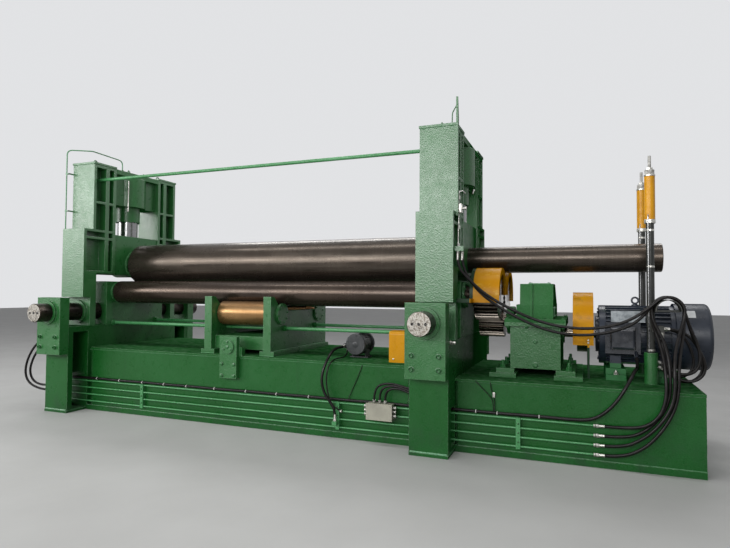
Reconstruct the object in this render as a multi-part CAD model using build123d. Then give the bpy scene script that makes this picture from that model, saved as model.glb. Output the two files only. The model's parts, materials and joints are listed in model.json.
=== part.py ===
"""Plate rolling machine with three rolls: welded base, two roll stands, roll drive and hydraulics.

Millimetres. X runs along the rolls towards the drive, Y points to the rear, Z up.
The origin is on the floor, midway between the two stands, under the upper roll.
"""
import os
from math import acos, atan2, cos, pi, radians, sin, sqrt, tan

from build123d import *

# Clearances and working allowances
running = 0.1
seat = 0.3
slide_gap = 6.0
past = 5.0

# Rolls
upper_roll_r = 282.5
upper_journal_r = 130.0
shoulder_r = 205.0
shoulder_length = 80.0
tail_r = 143.0
lower_roll_r = 150.0
lower_roll_z = 1520.0
lower_roll_y = 315.0
lower_barrel_gap = 35.0
lower_journal_r = 95.0
closed_gap = 10.15
roll_chamfer = 6.0

# Upper roll lift
lift_down = 75.0
lift_up = 180.0
upper_roll_z = lower_roll_z + lift_down + sqrt(
    (upper_roll_r + lower_roll_r + closed_gap) ** 2 - lower_roll_y ** 2)
bearing_above = 404.0
bearing_gap = 20.0
bearing_nose_r = 176.0
bearing_width = 350.0
bearing_cover_r = 205.0
bearing_cover_thick = 20.0
shoulder_gap = 27.5
ram_r = 138.0
ram_cover = 30.0
cylinder_r = 235.0
cylinder_height = 485.0
gland_r = 163.0
gland_length = 210.0
gland_margin = 40.0

# Stands
stand_spacing = 4845.0
stand_width = 380.0
stand_x = stand_spacing / 2
inner_x = stand_x - stand_width / 2
outer_x = stand_x + stand_width / 2
upper_barrel_half = stand_x - bearing_width / 2 - bearing_cover_thick - shoulder_gap - shoulder_length
bearing_top = upper_roll_z + bearing_above
gland_bottom = bearing_top + lift_up + gland_margin
cylinder_bottom = gland_bottom + gland_length
stand_top = cylinder_bottom + cylinder_height
foot_depth = 2230.0
foot_plate = 30.0
foot_lip = 8.0
foot_flange = 70.0
foot_recess = 270.0
foot_window_front = 1000.0
foot_window_bottom = 80.0
foot_window_top = 450.0
neck_front = 800.0
neck_top = 1450.0
post_front = 915.0
post_step_drop = 875.0
post_upper_front = 775.0
post_cap = 25.0
post_flange = 40.0
post_recess = 110.0
post_recess_bottom = 1800.0
post_rib_front = 580.0
post_rib_back = 520.0
post_stiffener = 30.0
post_stiffener_drops = (988.0, 508.0)
window_cheek = 45.0
lower_window_half = 710.0
lower_window_top = 1770.0
upper_window_half = 405.0
crosshead_web = 240.0
crosshead_plate = 65.0
blade_thick = 20.0
blade_depth = 45.0
blade_proud = 15.0
blade_rise = 257.0
blade_lap = 40.0
blade_taper = 210.0
blade_tip = 8.0
hose_port_z = 1950.0
hose_port_height = 50.0
hose_port_reach = 90.0
hose_port_y = 820.0
hose_port_depth = 84.0
hose_port_outs = (27.5, 63.5)
hose_port_stagger = 20.0
left_port_z = 900.0

# Lower roll housings and their shift rods
housing_half = 530.0
housing_above = 145.0
housing_side_gap = 5.0
housing_dip = 65.0
housing_dip_half = 190.0
housing_cover_r = 140.0
housing_cover_thick = 20.0
housing_top = lower_roll_z + housing_above
bearing_bottom = housing_top + lift_down + bearing_gap
shift_rod_r = 113.0
shift_rod_z = 1260.0
foot_rod_gap = 67.0
foot_height = shift_rod_z - shift_rod_r - foot_rod_gap
shift_rod_reach = 1450.0
shift_rod_chamfer = 5.0
rod_centre_hole_r = 9.0
rod_side_hole_r = 7.0
rod_side_hole_x = 62.0
rod_hole_depth = 25.0
rod_notch_w = 24.0
rod_notch_h = 14.0
keeper_width = 392.0
keeper_bottom = 736.0
keeper_top = 1448.0
keeper_thick = 135.0
keeper_edge = 4.0
ring_r = 147.0
ring_thick = 28.0
boss_thick = 40.0

# Base
base_half_depth = 830.0
roll_base_top = 800.0
drive_base_top = 705.0
drive_base_end = 4738.0
base_flange = 24.0
base_flange_lip = 12.0
base_web = base_half_depth - base_flange_lip
base_sole = 60.0
base_sole_lip = 15.0
base_end_recess = 60.0
roll_web_gap = 92.5
roll_web_half = inner_x - roll_web_gap
roll_flange_lip = 18.0
roll_flange_half = roll_web_half + roll_flange_lip
drive_web_gap = 30.0
apron_thick = 6.0
apron_bottom = 374.0
apron_corner = 110.0

# Support rollers under the lower rolls
support_plate_x = 410.0
support_plate_w = 100.0
support_front = 720.0
support_top = 1480.0
support_horn = 75.0
support_slope = 155.0
support_roof_gap = 60.0
support_beam_inset = 80.0
support_beam_slot = 55.0
support_beam_top = 1010.0
support_roller_r = 145.0
support_roller_y = 480.0
support_pin_r = 55.0
support_cover_r = 125.0
support_cover_thick = 25.0
support_roller_gap = 0.4
support_foot = 50.0
support_foot_flare = 45.0
stay_y = 400.0
stay_z = 1102.0
stay_r = 21.0
adjuster_half = 114.0
adjuster_bottom = 545.0
adjuster_top = 1020.0
adjuster_thick = 55.0
adjuster_block_half = 150.0
adjuster_block_depth = 62.0
adjuster_block_height = 100.0
adjuster_screw_r = 22.0
adjuster_screw_z = 985.0
adjuster_disc_r = 80.0
adjuster_disc_thick = 20.0
adjuster_disc_z = 905.0

# Roll gears and pinion
gear_module = 16.0
roll_gear_teeth = 31
pinion_teeth = 21
gear_offset = 125.5
gear_left = outer_x + gear_offset
gear_face = 240.0
gear_right = gear_left + gear_face
pinion_extra = 10.0
gear_backlash = 1.6
root_clearance = 0.25
gear_shaft_r = 90.0
pinion_shaft_r = 70.0
pressure_angle = 20.0
hood_thick = 10.0
hood_gap = 11.0
hood_side_gap = 28.0
hood_rim = 65.0
hood_front_drop = 75.0
hood_arm = 40.0
hood_arm_end = 770.0

# Gearbox
gearbox_gap = 117.0
gearbox_left = gear_right + gearbox_gap
gearbox_length = 480.0
gearbox_right = gearbox_left + gearbox_length
gearbox_half = 450.0
gearbox_rail = 40.0
gearbox_foot = 45.0
gearbox_flange = 37.0
gearbox_flange_out = 50.0
gearbox_cap_r = 150.0
gearbox_cap_out = 75.0
input_cap_r = 105.0
input_cap_out = 25.0
shaft_seat_depth = 60.0
tier_inset_left = 60.0
tier_inset_right = 67.0
tier_height = 142.0
cover_inset = 95.0
cover_height = 210.0
cover_slope_front = 30.0
cover_back = 60.0
cover_rib_w = 18.0
cover_rib_x = 140.0
rail_out_left = 195.0
rail_out_right = 202.0
rail_w = 260.0
rail_half = 550.0
foot_inset_left = 63.0
foot_inset_right = 67.0
foot_w = 177.0
foot_half = 510.0

# Motor
coupling_space = 355.0
motor_left = gearbox_right + coupling_space
motor_axis_z = drive_base_top + 425.0
motor_r = 295.0
motor_length = 670.0
motor_body_right = motor_left + motor_length
motor_front_ring = 60.0
motor_back_ring = 40.0
motor_shield_r = 180.0
motor_shield_out = 30.0
motor_fan_r = 320.0
motor_fan_length = 300.0
motor_right = motor_body_right + motor_fan_length
motor_fan_round = 35.0
grille_rings = 5
grille_pitch = 48.0
grille_slot = 20.0
grille_depth = 10.0
grille_spoke = 18.0
fin_count = 36
fin_depth = 22.0
fin_thick = 9.0
fin_root = 8.0
motor_foot_inset = 55.0
motor_foot_w = 180.0
motor_foot_half = 320.0
motor_foot_pad = 55.0
motor_foot_step = 55.0
motor_foot_step_inset = 50.0
motor_leg_inset = 40.0
motor_leg_half = 220.0
terminal_inset = 50.0
terminal_length = 310.0
terminal_bottom = 965.0
terminal_top = 1265.0
terminal_rim_front = 330.0
terminal_front = 390.0
terminal_back = 235.0
terminal_lid_inset = 45.0
terminal_lid_round = 28.0
upper_box_inset = 55.0
upper_box_length = 297.0
upper_box_height = 105.0
upper_box_back = 150.0
cable_gland_x = 4250.0
cable_gland_y = 400.0
cable_gland_z = 935.0
cable_gland_tilt = 30.0
cable_gland_length = 90.0
cable_gland_r = 21.0
motor_shaft_r = 45.0
coupling_r = 190.0
coupling_hub_r = 85.0
coupling_half = 60.0
coupling_hub_half = 85.0
guard_offset = 110.0
guard_length = 193.0
guard_left = gearbox_right + guard_offset
guard_right = guard_left + guard_length
guard_half = 300.0
guard_below = 100.0
guard_above = 424.0
guard_sheet = 6.0
guard_leg = 20.0
guard_leg_overlap = 40.0
guard_leg_inset = 58.0

# Tail cylinders
tail_end = 4514.0
tail_column_inset = 366.0
tail_column_x = drive_base_end - tail_column_inset
tail_column_y = 385.0
pedestal_r = 60.0
pedestal_height = 290.0
pedestal_top = drive_base_top + pedestal_height
column_r = 35.0
tail_barrel_r = 46.0
tail_barrel_bottom = 2230.0
tail_barrel_length = 440.0
tail_cap_r = 42.0
tail_cap_height = 45.0
tail_stem_r = 14.0
tail_stem_height = 135.0
tail_port_z = 1190.0
tail_port_height = 60.0
tail_port_out = 103.0
tail_port_front = 460.0
tail_port_back = 365.0
tail_nipple_x = 4460.0
tail_nipple_ys = (-385.0, -435.0)
saddle_x = 4480.0
saddle_z = 1392.0
saddle_r = 104.0
saddle_gap = 6.0
saddle_thick = 8.0
saddle_front = 725.0
saddle_back = 565.0
saddle_arm = 50.0
saddle_arm_thick = 20.0
saddle_clamp_r = 60.0
saddle_clamp_height = 45.0

# Pump set
pump_x = 1418.0
pump_axis_z = 956.0
pump_front = 500.0
pump_fan_r = 120.0
pump_fan_length = 70.0
pump_fan_round = 14.0
pump_body_r = 104.0
pump_fin_r = 112.0
pump_body_length = 200.0
pump_flange_r = 125.0
pump_flange = 15.0
pump_block_r = 70.0
pump_block_length = 95.0
pump_foot_half = 110.0
pump_foot_inset = 40.0
pump_foot_plate = 14.0
pump_foot_web = 12.0
pump_fin_count = 24
pump_port_x = 1275.0
pump_port_z = 930.0
pump_port_half = 25.0
pump_port_front = 445.0
pump_guard_left = 1864.0
pump_guard_right = 2180.0
pump_guard_gap = 9.0
pump_guard_depth = 210.0
pump_guard_back = stay_y + stay_r + pump_guard_gap
pump_guard_front = pump_guard_back + pump_guard_depth
pump_guard_top = 1131.0
pump_guard_round = 40.0

# Pipes and wiring held on the base
pipe_r = 9.0
pipe_first_z = 118.0
pipe_pitch = 85.0
pipe_rows = [pipe_first_z + pipe_pitch * row for row in range(4)]
through_rows = pipe_rows[1:3]
pipe_stand_off = 30.0
pipe_y = base_web + pipe_stand_off
pipe_end_gap = 2.5
pipe_stub = 35.0
clamp_w = 40.0
clamp_cover = 8.0
clamp_past = 12.0
roll_clamp_x = (-1278.0, 1370.0)
drive_clamp_x = (3213.0,)
drive_pipe_end = 3880.0
nut_length = 25.0
nut_r = 15.0
ferrule_r = 14.0
ferrule_length = 50.0
manifold_x = 1360.0
manifold_half = 25.0
manifold_out = 77.0
manifold_front = pipe_y + manifold_out
manifold_bottom = 150.0
manifold_top = 190.0
manifold_nipple_out = 52.0
manifold_nipple_y = pipe_y + manifold_nipple_out
junction_inset = 140.0
junction_width = 270.0
junction_right = roll_web_half - junction_inset
junction_left = junction_right - junction_width
junction_bottom = 255.0
junction_top = 415.0
junction_depth = 92.0
junction_lid = 12.0
junction_lid_lip = 4.0
tie_pipe_y = 630.0
tie_pipe_z = 3030.0
tie_pipe_r = 20.0

# Hoses and the motor's cable
hose_d = 28.0
bundle_d = 30.0
bundle_z = 405.0
nipple_length = 20.0
bend_share = 0.45

PARTS = "parts"


def block(x0, x1, y0, y1, z0, z1):
    """A box between its lowest and highest corners."""
    shape = Box(x1 - x0, y1 - y0, z1 - z0, align=(Align.MIN, Align.MIN, Align.MIN))
    return Pos(x0, y0, z0) * shape


def rod_x(r, x0, x1, y, z):
    """A round bar along X."""
    return Pos((x0 + x1) / 2, y, z) * Rot(0, 90, 0) * Cylinder(r, x1 - x0)


def rod_y(r, y0, y1, x, z):
    """A round bar along Y."""
    return Pos(x, (y0 + y1) / 2, z) * Rot(90, 0, 0) * Cylinder(r, y1 - y0)


def rod_z(r, z0, z1, x, y):
    """A round bar along Z."""
    return Pos(x, y, (z0 + z1) / 2) * Cylinder(r, z1 - z0)


def turned(stations):
    """A turned piece along X, from (x, radius) points."""
    points = [(stations[0][0], 0), *stations, (stations[-1][0], 0)]
    return revolve(make_face(Polyline(*points, close=True)), Axis.X)


def chamfered(r, x0, x1, chamfer_size):
    """A round bar along X with a chamfer at both ends."""
    c = chamfer_size
    return turned([(x0, r - c), (x0 + c, r), (x1 - c, r), (x1, r - c)])


def side_profile(points, x0, x1):
    """A prism along X from (y, z) points."""
    face = make_face(Polyline(*[(x0, y, z) for y, z in points], close=True))
    return extrude(face, amount=x1 - x0, dir=(1, 0, 0))


def solid(shape):
    """The single solid that a fused shape holds."""
    found = shape.solids()
    assert len(found) == 1, len(found)
    return found[0]


def save(name, *shapes):
    """Write one node, from one solid or several that don't touch."""
    made = [s for shape in shapes for s in shape.solids()]
    whole = made[0] if len(made) == 1 else Compound(children=made)
    export_step(whole, f"{PARTS}/{name}.step")


def stand_sides():
    """Names and directions of the two stands."""
    return (("left", -1), ("right", 1))


def span(side, a, b):
    """Turn distances from the middle into a low and a high coordinate on one side."""
    return (a, b) if side > 0 else (-b, -a)


# Stands

def lower_frame(side):
    """The foot of a stand, hollowed on its inner face in front of and behind the base."""
    x0, x1 = span(side, inner_x, outer_x)
    half = foot_depth / 2
    body = block(x0, x1, -half, half, foot_plate, foot_height)
    body += block(x0, x1, -half - foot_lip, half + foot_lip, 0, foot_plate)
    hollow = span(side, inner_x - past, inner_x + foot_recess)
    window = span(side, inner_x, outer_x + past)
    for depth_sign in (-1, 1):
        ya, yb = span(depth_sign, base_web, half - foot_flange)
        body -= block(*hollow, ya, yb, foot_plate, foot_height - foot_flange)
    body -= block(*window, -foot_window_front, -base_web, foot_window_bottom, foot_window_top)
    if side < 0:
        for y, z in left_ports():
            body += rod_x(ferrule_r, -outer_x - pipe_stub, -outer_x, y, z)
    return solid(body)


def left_ports():
    """Where the two hose ports stand on the left stand's outer face, as (y, z)."""
    return ((-980.0, left_port_z + 30), (-930.0, left_port_z - 30))


def post_bands():
    """The heights between the stiffeners of a post."""
    step_z = stand_top - post_step_drop
    half = post_stiffener / 2
    low, high = (stand_top - drop for drop in post_stiffener_drops)
    return (
        (post_recess_bottom, low - half, post_front),
        (low + half, step_z - post_stiffener, post_front),
        (step_z, high - half, post_upper_front),
        (high + half, stand_top - post_flange, post_upper_front),
    )


def post(side, depth_sign):
    """One stepped post of I-section, with its cap, and its bore for the shift rod."""
    x0, x1 = span(side, inner_x, outer_x)
    step_z = stand_top - post_step_drop
    outline = [
        (neck_front, foot_height),
        (neck_front, neck_top),
        (post_front, neck_top),
        (post_front, step_z),
        (post_upper_front, step_z),
        (post_upper_front, stand_top),
        (upper_window_half, stand_top),
        (upper_window_half, lower_window_top),
        (lower_window_half, lower_window_top),
        (lower_window_half, foot_height),
    ]
    body = side_profile([(y * depth_sign, z) for y, z in outline], x0, x1)
    ya, yb = span(depth_sign, upper_window_half, post_upper_front + foot_lip)
    body += block(x0 - foot_lip, x1 + foot_lip, ya, yb, stand_top, stand_top + post_cap)
    faces = (
        span(side, inner_x - past, inner_x + post_recess),
        span(side, outer_x - post_recess, outer_x + past),
    )
    for z0, z1, front in post_bands():
        columns = (
            span(depth_sign, post_rib_front, front - post_flange),
            span(depth_sign, upper_window_half + window_cheek, post_rib_back),
        )
        for xa, xb in faces:
            for ya, yb in columns:
                body -= block(xa, xb, ya, yb, z0, z1)
    centre = side * stand_x
    ya, yb = span(depth_sign, neck_front, neck_front + boss_thick)
    body += rod_y(ring_r, ya, yb, centre, shift_rod_z)
    ya, yb = span(depth_sign, lower_window_half - past, neck_front + boss_thick + past)
    body -= rod_y(shift_rod_r + running, ya, yb, centre, shift_rod_z)
    if (side, depth_sign) == (1, -1):
        body += blade()
        body += hose_port()
    return solid(body)


def blade():
    """The pointed bar up the front corner of the right stand."""
    front = -post_upper_front - blade_proud
    foot = stand_top - post_step_drop - blade_lap
    top = stand_top + post_cap + blade_rise
    outline = [(front, foot), (front + blade_depth, foot), (front + blade_depth, top - blade_taper),
               (front + blade_tip, top), (front, top)]
    return side_profile(outline, outer_x, outer_x + blade_thick)


def hose_ports_right():
    """Where the two hose ports hang beside the right stand, as (x, y)."""
    first, second = hose_port_outs
    return ((outer_x + first, -hose_port_y - hose_port_stagger), (outer_x + second, -hose_port_y + hose_port_stagger))


def hose_port():
    """The block beside the right post from which two hoses hang."""
    top = hose_port_z + hose_port_height
    half = hose_port_depth / 2
    body = block(outer_x - post_recess, outer_x + hose_port_reach, -hose_port_y - half, -hose_port_y + half,
                 hose_port_z, top)
    for x, y in hose_ports_right():
        body += rod_z(ferrule_r, hose_port_z - nipple_length, hose_port_z, x, y)
    return body


def crosshead(side):
    """The bridge between the posts: webs and a top plate round the main cylinder."""
    centre = side * stand_x
    half = upper_window_half
    web = block(centre - crosshead_web / 2, centre + crosshead_web / 2, -half, half,
                cylinder_bottom, stand_top)
    x0, x1 = span(side, inner_x, outer_x)
    plate = block(x0, x1, -half, half, stand_top - crosshead_plate, stand_top)
    hole = rod_z(cylinder_r + seat, cylinder_bottom - past, stand_top - crosshead_plate, centre, 0)
    return solid(web - hole + plate)


def main_cylinder(side):
    centre = side * stand_x
    top = stand_top - crosshead_plate
    barrel = rod_z(cylinder_r, cylinder_bottom, top, centre, 0)
    gland = rod_z(gland_r, gland_bottom, cylinder_bottom, centre, 0)
    bore = rod_z(ram_r + running, gland_bottom, top - ram_cover, centre, 0)
    return solid(barrel + gland - bore)


def ram(side):
    """The piston rod, long enough to stay in its gland at the lowest setting."""
    top = stand_top - crosshead_plate - ram_cover - lift_up - slide_gap
    return rod_z(ram_r, bearing_top, top, side * stand_x, 0)


def upper_bearing(side):
    """The sliding block that carries one end of the upper roll."""
    centre = side * stand_x
    x0, x1 = centre - bearing_width / 2, centre + bearing_width / 2
    half = upper_window_half - slide_gap
    body = block(x0, x1, -half, half, bearing_bottom, bearing_top)
    body += rod_x(bearing_nose_r, x0, x1, 0, upper_roll_z)
    inner_face = stand_x - bearing_width / 2
    body += rod_x(bearing_cover_r, *span(side, inner_face - bearing_cover_thick, inner_face), 0, upper_roll_z)
    shaft_r = tail_r if side > 0 else upper_journal_r
    bore = rod_x(shaft_r + running, x0 - bearing_cover_thick - past, x1 + bearing_cover_thick + past,
                 0, upper_roll_z)
    return solid(body - bore)


def lower_housing(side):
    """The housing of both lower rolls, on the stand's bed between the shift rods."""
    near, far = inner_x + housing_side_gap, outer_x - housing_side_gap
    x0, x1 = span(side, near, far)
    outline = [
        (-housing_half, foot_height),
        (-housing_half, housing_top),
        (-housing_dip_half, housing_top),
        (-housing_dip_half, housing_top - housing_dip),
        (housing_dip_half, housing_top - housing_dip),
        (housing_dip_half, housing_top),
        (housing_half, housing_top),
        (housing_half, foot_height),
    ]
    body = side_profile(outline, x0, x1)
    for y in (-lower_roll_y, lower_roll_y):
        body += rod_x(housing_cover_r, *span(side, near - housing_cover_thick, near), y, lower_roll_z)
        body += rod_x(housing_cover_r, *span(side, far, far + housing_cover_thick), y, lower_roll_z)
        body -= rod_x(lower_journal_r + running, *span(side, near - housing_cover_thick - past, outer_x + seat),
                      y, lower_roll_z)
        if side > 0:
            body -= rod_x(lower_journal_r + running, outer_x, far + housing_cover_thick + past, y, lower_roll_z)
    return solid(body)


def shift_rod(side, depth_sign):
    """One rod that sets the housing along Y, with the holes and the notch in its end."""
    length = shift_rod_reach - housing_half
    body = chamfered(shift_rod_r, 0, length, shift_rod_chamfer)
    for across, r in ((0, rod_centre_hole_r), (-rod_side_hole_x, rod_side_hole_r),
                      (rod_side_hole_x, rod_side_hole_r)):
        body -= rod_x(r, length - rod_hole_depth, length + past, across, 0)
    notch_bottom = -shift_rod_r - past
    body -= block(length - rod_hole_depth, length + past, -rod_notch_w / 2, rod_notch_w / 2,
                  notch_bottom, rod_notch_h - shift_rod_r)
    place = Pos(side * stand_x, housing_half * depth_sign, shift_rod_z)
    return solid(place * Rot(0, 0, 90 * depth_sign) * body)


def keeper_block(side, depth_sign):
    """The bolted block on the foot, with the ring round the shift rod."""
    centre = side * stand_x
    face = foot_depth / 2
    front = face + keeper_thick
    x0, x1 = centre - keeper_width / 2, centre + keeper_width / 2
    body = block(x0, x1, *span(depth_sign, face, front), keeper_bottom, keeper_top)
    outer_face = body.faces().sort_by(Axis.Y)[0 if depth_sign < 0 else -1]
    body = chamfer(outer_face.edges(), keeper_edge)
    body += rod_y(ring_r, *span(depth_sign, front, front + ring_thick), centre, shift_rod_z)
    body -= rod_y(shift_rod_r + running, *span(depth_sign, face - past, front + ring_thick + past),
                  centre, shift_rod_z)
    return solid(body)


# Rolls

def upper_roll():
    """The upper roll, with a shoulder at each end of its barrel and a long tail."""
    end = upper_barrel_half
    c = roll_chamfer
    stations = [
        (-outer_x, upper_journal_r - c),
        (c - outer_x, upper_journal_r),
        (-end - shoulder_length, upper_journal_r),
        (-end - shoulder_length, shoulder_r),
        (-end, shoulder_r),
        (-end, upper_roll_r - c),
        (c - end, upper_roll_r),
        (end - c, upper_roll_r),
        (end, upper_roll_r - c),
        (end, shoulder_r),
        (end + shoulder_length, shoulder_r),
        (end + shoulder_length, tail_r),
        (tail_end - c, tail_r),
        (tail_end, tail_r - c),
    ]
    return solid(Pos(0, 0, upper_roll_z) * turned(stations))


def lower_roll(depth_sign):
    end = inner_x - lower_barrel_gap
    c = roll_chamfer
    stations = [
        (-outer_x, lower_journal_r),
        (-end, lower_journal_r),
        (-end, lower_roll_r - c),
        (c - end, lower_roll_r),
        (end - c, lower_roll_r),
        (end, lower_roll_r - c),
        (end, lower_journal_r),
        (outer_x, lower_journal_r),
        (outer_x, gear_shaft_r),
        (gear_right, gear_shaft_r),
    ]
    return solid(Pos(0, lower_roll_y * depth_sign, lower_roll_z) * turned(stations))


# Gears

def pitch_radius(teeth):
    return gear_module * teeth / 2


def involute_angle(base_r, r):
    """The involute's polar angle at radius r."""
    a = acos(min(1.0, base_r / r))
    return tan(a) - a


def gear_outline(teeth, turn):
    """Points of a spur gear with its first tooth turned to the angle given, in radians."""
    pitch_r = pitch_radius(teeth)
    base_r = pitch_r * cos(radians(pressure_angle))
    tip_r = pitch_r + gear_module
    root_r = pitch_r - (1 + root_clearance) * gear_module
    half_at_pitch = pi / (2 * teeth) - gear_backlash / (4 * pitch_r)
    half_at_base = half_at_pitch + involute_angle(base_r, pitch_r)
    start_r = max(base_r, root_r)
    stations = [start_r, (start_r + pitch_r) / 2, pitch_r, (pitch_r + tip_r) / 2, tip_r]
    flank = [(r, half_at_base - involute_angle(base_r, r)) for r in stations]
    if root_r < start_r:
        flank.insert(0, (root_r, half_at_base))
    points = []
    for tooth in range(teeth):
        middle = turn + 2 * pi * tooth / teeth
        points += [(r, middle - a) for r, a in flank]
        points += [(r, middle + a) for r, a in reversed(flank)]
    return [(r * cos(a), r * sin(a)) for r, a in points]


def gear(teeth, turn, x0, x1, y, z, bore_r):
    """A spur gear along X, with an angle of zero along +Y."""
    outline = [(y + a, z + b) for a, b in gear_outline(teeth, turn)]
    body = side_profile(outline, x0, x1)
    if bore_r:
        body -= rod_x(bore_r, x0 - past, x1 + past, y, z)
    return solid(body)


centre_distance = pitch_radius(roll_gear_teeth) + pitch_radius(pinion_teeth)
pinion_z = lower_roll_z - sqrt(centre_distance ** 2 - lower_roll_y ** 2)
gear_tip_r = pitch_radius(roll_gear_teeth) + gear_module


def roll_gear_turn(depth_sign):
    """The turn that puts a gap of the roll gear on the pinion's tooth."""
    pinion_turn = pi / 2
    to_gear = atan2(lower_roll_z - pinion_z, lower_roll_y * depth_sign)
    pinion_pitch = 2 * pi / pinion_teeth
    phase = ((pinion_turn - to_gear) / pinion_pitch) % 1.0
    to_pinion = to_gear + pi
    gear_pitch = 2 * pi / roll_gear_teeth
    return to_pinion + gear_pitch / 2 - phase * gear_pitch


def roll_gear(depth_sign):
    return gear(roll_gear_teeth, roll_gear_turn(depth_sign), gear_left, gear_right,
                lower_roll_y * depth_sign, lower_roll_z, gear_shaft_r + running)


def drive_pinion():
    wheel = gear(pinion_teeth, pi / 2, gear_left - pinion_extra, gear_right + pinion_extra, 0, pinion_z, 0)
    shaft = rod_x(pinion_shaft_r, gear_right, gearbox_left + shaft_seat_depth, 0, pinion_z)
    return solid(wheel + shaft)


def gear_hood(depth_sign):
    """The arched sheet over the outer and upper half of one roll gear, with a rim at each end."""
    inner = gear_tip_r + hood_gap
    outer = inner + hood_thick
    x0, x1 = gear_left - hood_side_gap, gear_right + hood_side_gap
    y = lower_roll_y * depth_sign
    ring = rod_x(outer, x0, x1, y, lower_roll_z) - rod_x(inner, x0 - past, x1 + past, y, lower_roll_z)
    for xa, xb in ((x0, x0 + hood_thick), (x1 - hood_thick, x1)):
        rim = rod_x(outer, xa, xb, y, lower_roll_z)
        ring += rim - rod_x(outer - hood_rim, xa - past, xb + past, y, lower_roll_z)
    keep = block(x0, x1, y - outer, y + outer, lower_roll_z, lower_roll_z + outer)
    arch = ring & keep
    bottom = lower_roll_z - hood_front_drop
    ya, yb = sorted((y + inner * depth_sign, y + outer * depth_sign))
    arch += block(x0, x1, ya, yb, bottom, lower_roll_z)
    ya, yb = sorted((y + (inner + hood_thick / 2) * depth_sign, hood_arm_end * depth_sign))
    arch += block(outer_x, x0 + hood_arm, ya, yb, bottom, bottom + hood_arm)
    return solid(arch)


# Base

def base_section(ends, web_ends, flange_ends, top):
    """A closed welded box: flange and sole between the ends, its webs set back beyond their own ends."""
    half = base_half_depth
    core = base_web - base_end_recess
    body = block(*ends, -core, core, base_sole, top - base_flange)
    body += block(*web_ends, -base_web, base_web, base_sole, top - base_flange)
    body += block(*flange_ends, -half, half, top - base_flange, top)
    if flange_ends != ends:
        body += block(*ends, -core, core, top - base_flange, top)
    sole = base_web + base_sole_lip
    body += block(*ends, -sole, sole, 0, base_sole)
    return solid(body)


def roll_base():
    """The base between the stands, with a thin apron plate on both webs."""
    body = base_section((-inner_x, inner_x), (-roll_web_half, roll_web_half),
                        (-roll_flange_half, roll_flange_half), roll_base_top)
    for depth_sign in (-1, 1):
        ya, yb = span(depth_sign, base_web, base_web + apron_thick)
        apron = block(-roll_web_half, roll_web_half, ya, yb, apron_bottom, roll_base_top - base_flange)
        corners = apron.edges().filter_by(Axis.Y).group_by(Axis.Z)[0]
        body += fillet(corners, apron_corner)
    return solid(body)


def drive_base():
    ends = (outer_x, drive_base_end)
    return base_section(ends, (outer_x + drive_web_gap, drive_base_end), ends, drive_base_top)


# Support rollers

def support_roller_z():
    reach = lower_roll_r + support_roller_r + support_roller_gap
    return lower_roll_z - sqrt(reach ** 2 - (support_roller_y - lower_roll_y) ** 2)


def support_bracket():
    """Two side plates on a cross beam, with bores for the roller pins and the stays."""
    z = support_roller_z()
    inner = support_plate_x - support_plate_w / 2
    outer = support_plate_x + support_plate_w / 2
    front = support_front
    beam_front = front - support_beam_inset
    body = block(-inner, inner, -beam_front, beam_front, roll_base_top + support_beam_slot, support_beam_top)
    roof = lower_roll_z - lower_roll_r - support_roof_gap
    notch = front - support_horn - support_slope
    outline = [
        (-front, roll_base_top),
        (-front, support_top),
        (-front + support_horn, support_top),
        (-notch, roof),
        (notch, roof),
        (front - support_horn, support_top),
        (front, support_top),
        (front, roll_base_top),
    ]
    for x0, x1 in ((-outer, -inner), (inner, outer)):
        body += side_profile(outline, x0, x1)
        body += block(x0 - support_foot_flare, x1 + support_foot_flare, -front, front,
                      roll_base_top, roll_base_top + support_foot)
    for depth_sign in (-1, 1):
        y = support_roller_y * depth_sign
        for x0, x1 in ((-outer - support_cover_thick, -outer), (outer, outer + support_cover_thick)):
            body += rod_x(support_cover_r, x0, x1, y, z)
        body -= rod_x(support_pin_r + running, -outer - seat, outer + seat, y, z)
        body -= rod_x(stay_r + seat, -outer - past, outer + past, stay_y * depth_sign, stay_z)
        body -= rod_x(lower_roll_r + slide_gap, -outer - past, outer + past,
                      lower_roll_y * depth_sign, lower_roll_z)
    return solid(body)


def support_roller(depth_sign):
    z = support_roller_z()
    y = support_roller_y * depth_sign
    inner = support_plate_x - support_plate_w / 2
    outer = support_plate_x + support_plate_w / 2
    roller = chamfered(support_roller_r, -inner + slide_gap, inner - slide_gap, roll_chamfer)
    return solid(Pos(0, y, z) * roller + rod_x(support_pin_r, -outer, outer, y, z))


def adjuster(depth_sign):
    """The plate on the base's edge with the screw that sets the support bracket."""
    half = adjuster_half
    front = base_half_depth + adjuster_thick
    back = base_web + apron_thick
    under = roll_base_top - base_flange
    body = block(-half, half, *span(depth_sign, base_half_depth, front), adjuster_bottom, adjuster_top)
    body += block(-half, half, *span(depth_sign, back, base_half_depth), adjuster_bottom, under)
    body += block(-adjuster_block_half, adjuster_block_half,
                  *span(depth_sign, base_half_depth - adjuster_block_depth, base_half_depth),
                  roll_base_top, roll_base_top + adjuster_block_height)
    body += rod_y(adjuster_screw_r, *span(depth_sign, support_front, base_half_depth), 0, adjuster_screw_z)
    body += rod_y(adjuster_disc_r, *span(depth_sign, front, front + adjuster_disc_thick), 0, adjuster_disc_z)
    return solid(body)


# Gearbox

def split_cap(lower):
    """The lower or the upper half of the cap round the pinion's shaft."""
    cap = rod_x(gearbox_cap_r, gearbox_left - gearbox_cap_out, gearbox_left, 0, pinion_z)
    z0, z1 = (pinion_z - gearbox_cap_r, pinion_z) if lower else (pinion_z, pinion_z + gearbox_cap_r)
    return cap & block(gearbox_left - gearbox_cap_out, gearbox_left, -gearbox_cap_r, gearbox_cap_r, z0, z1)


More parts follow.
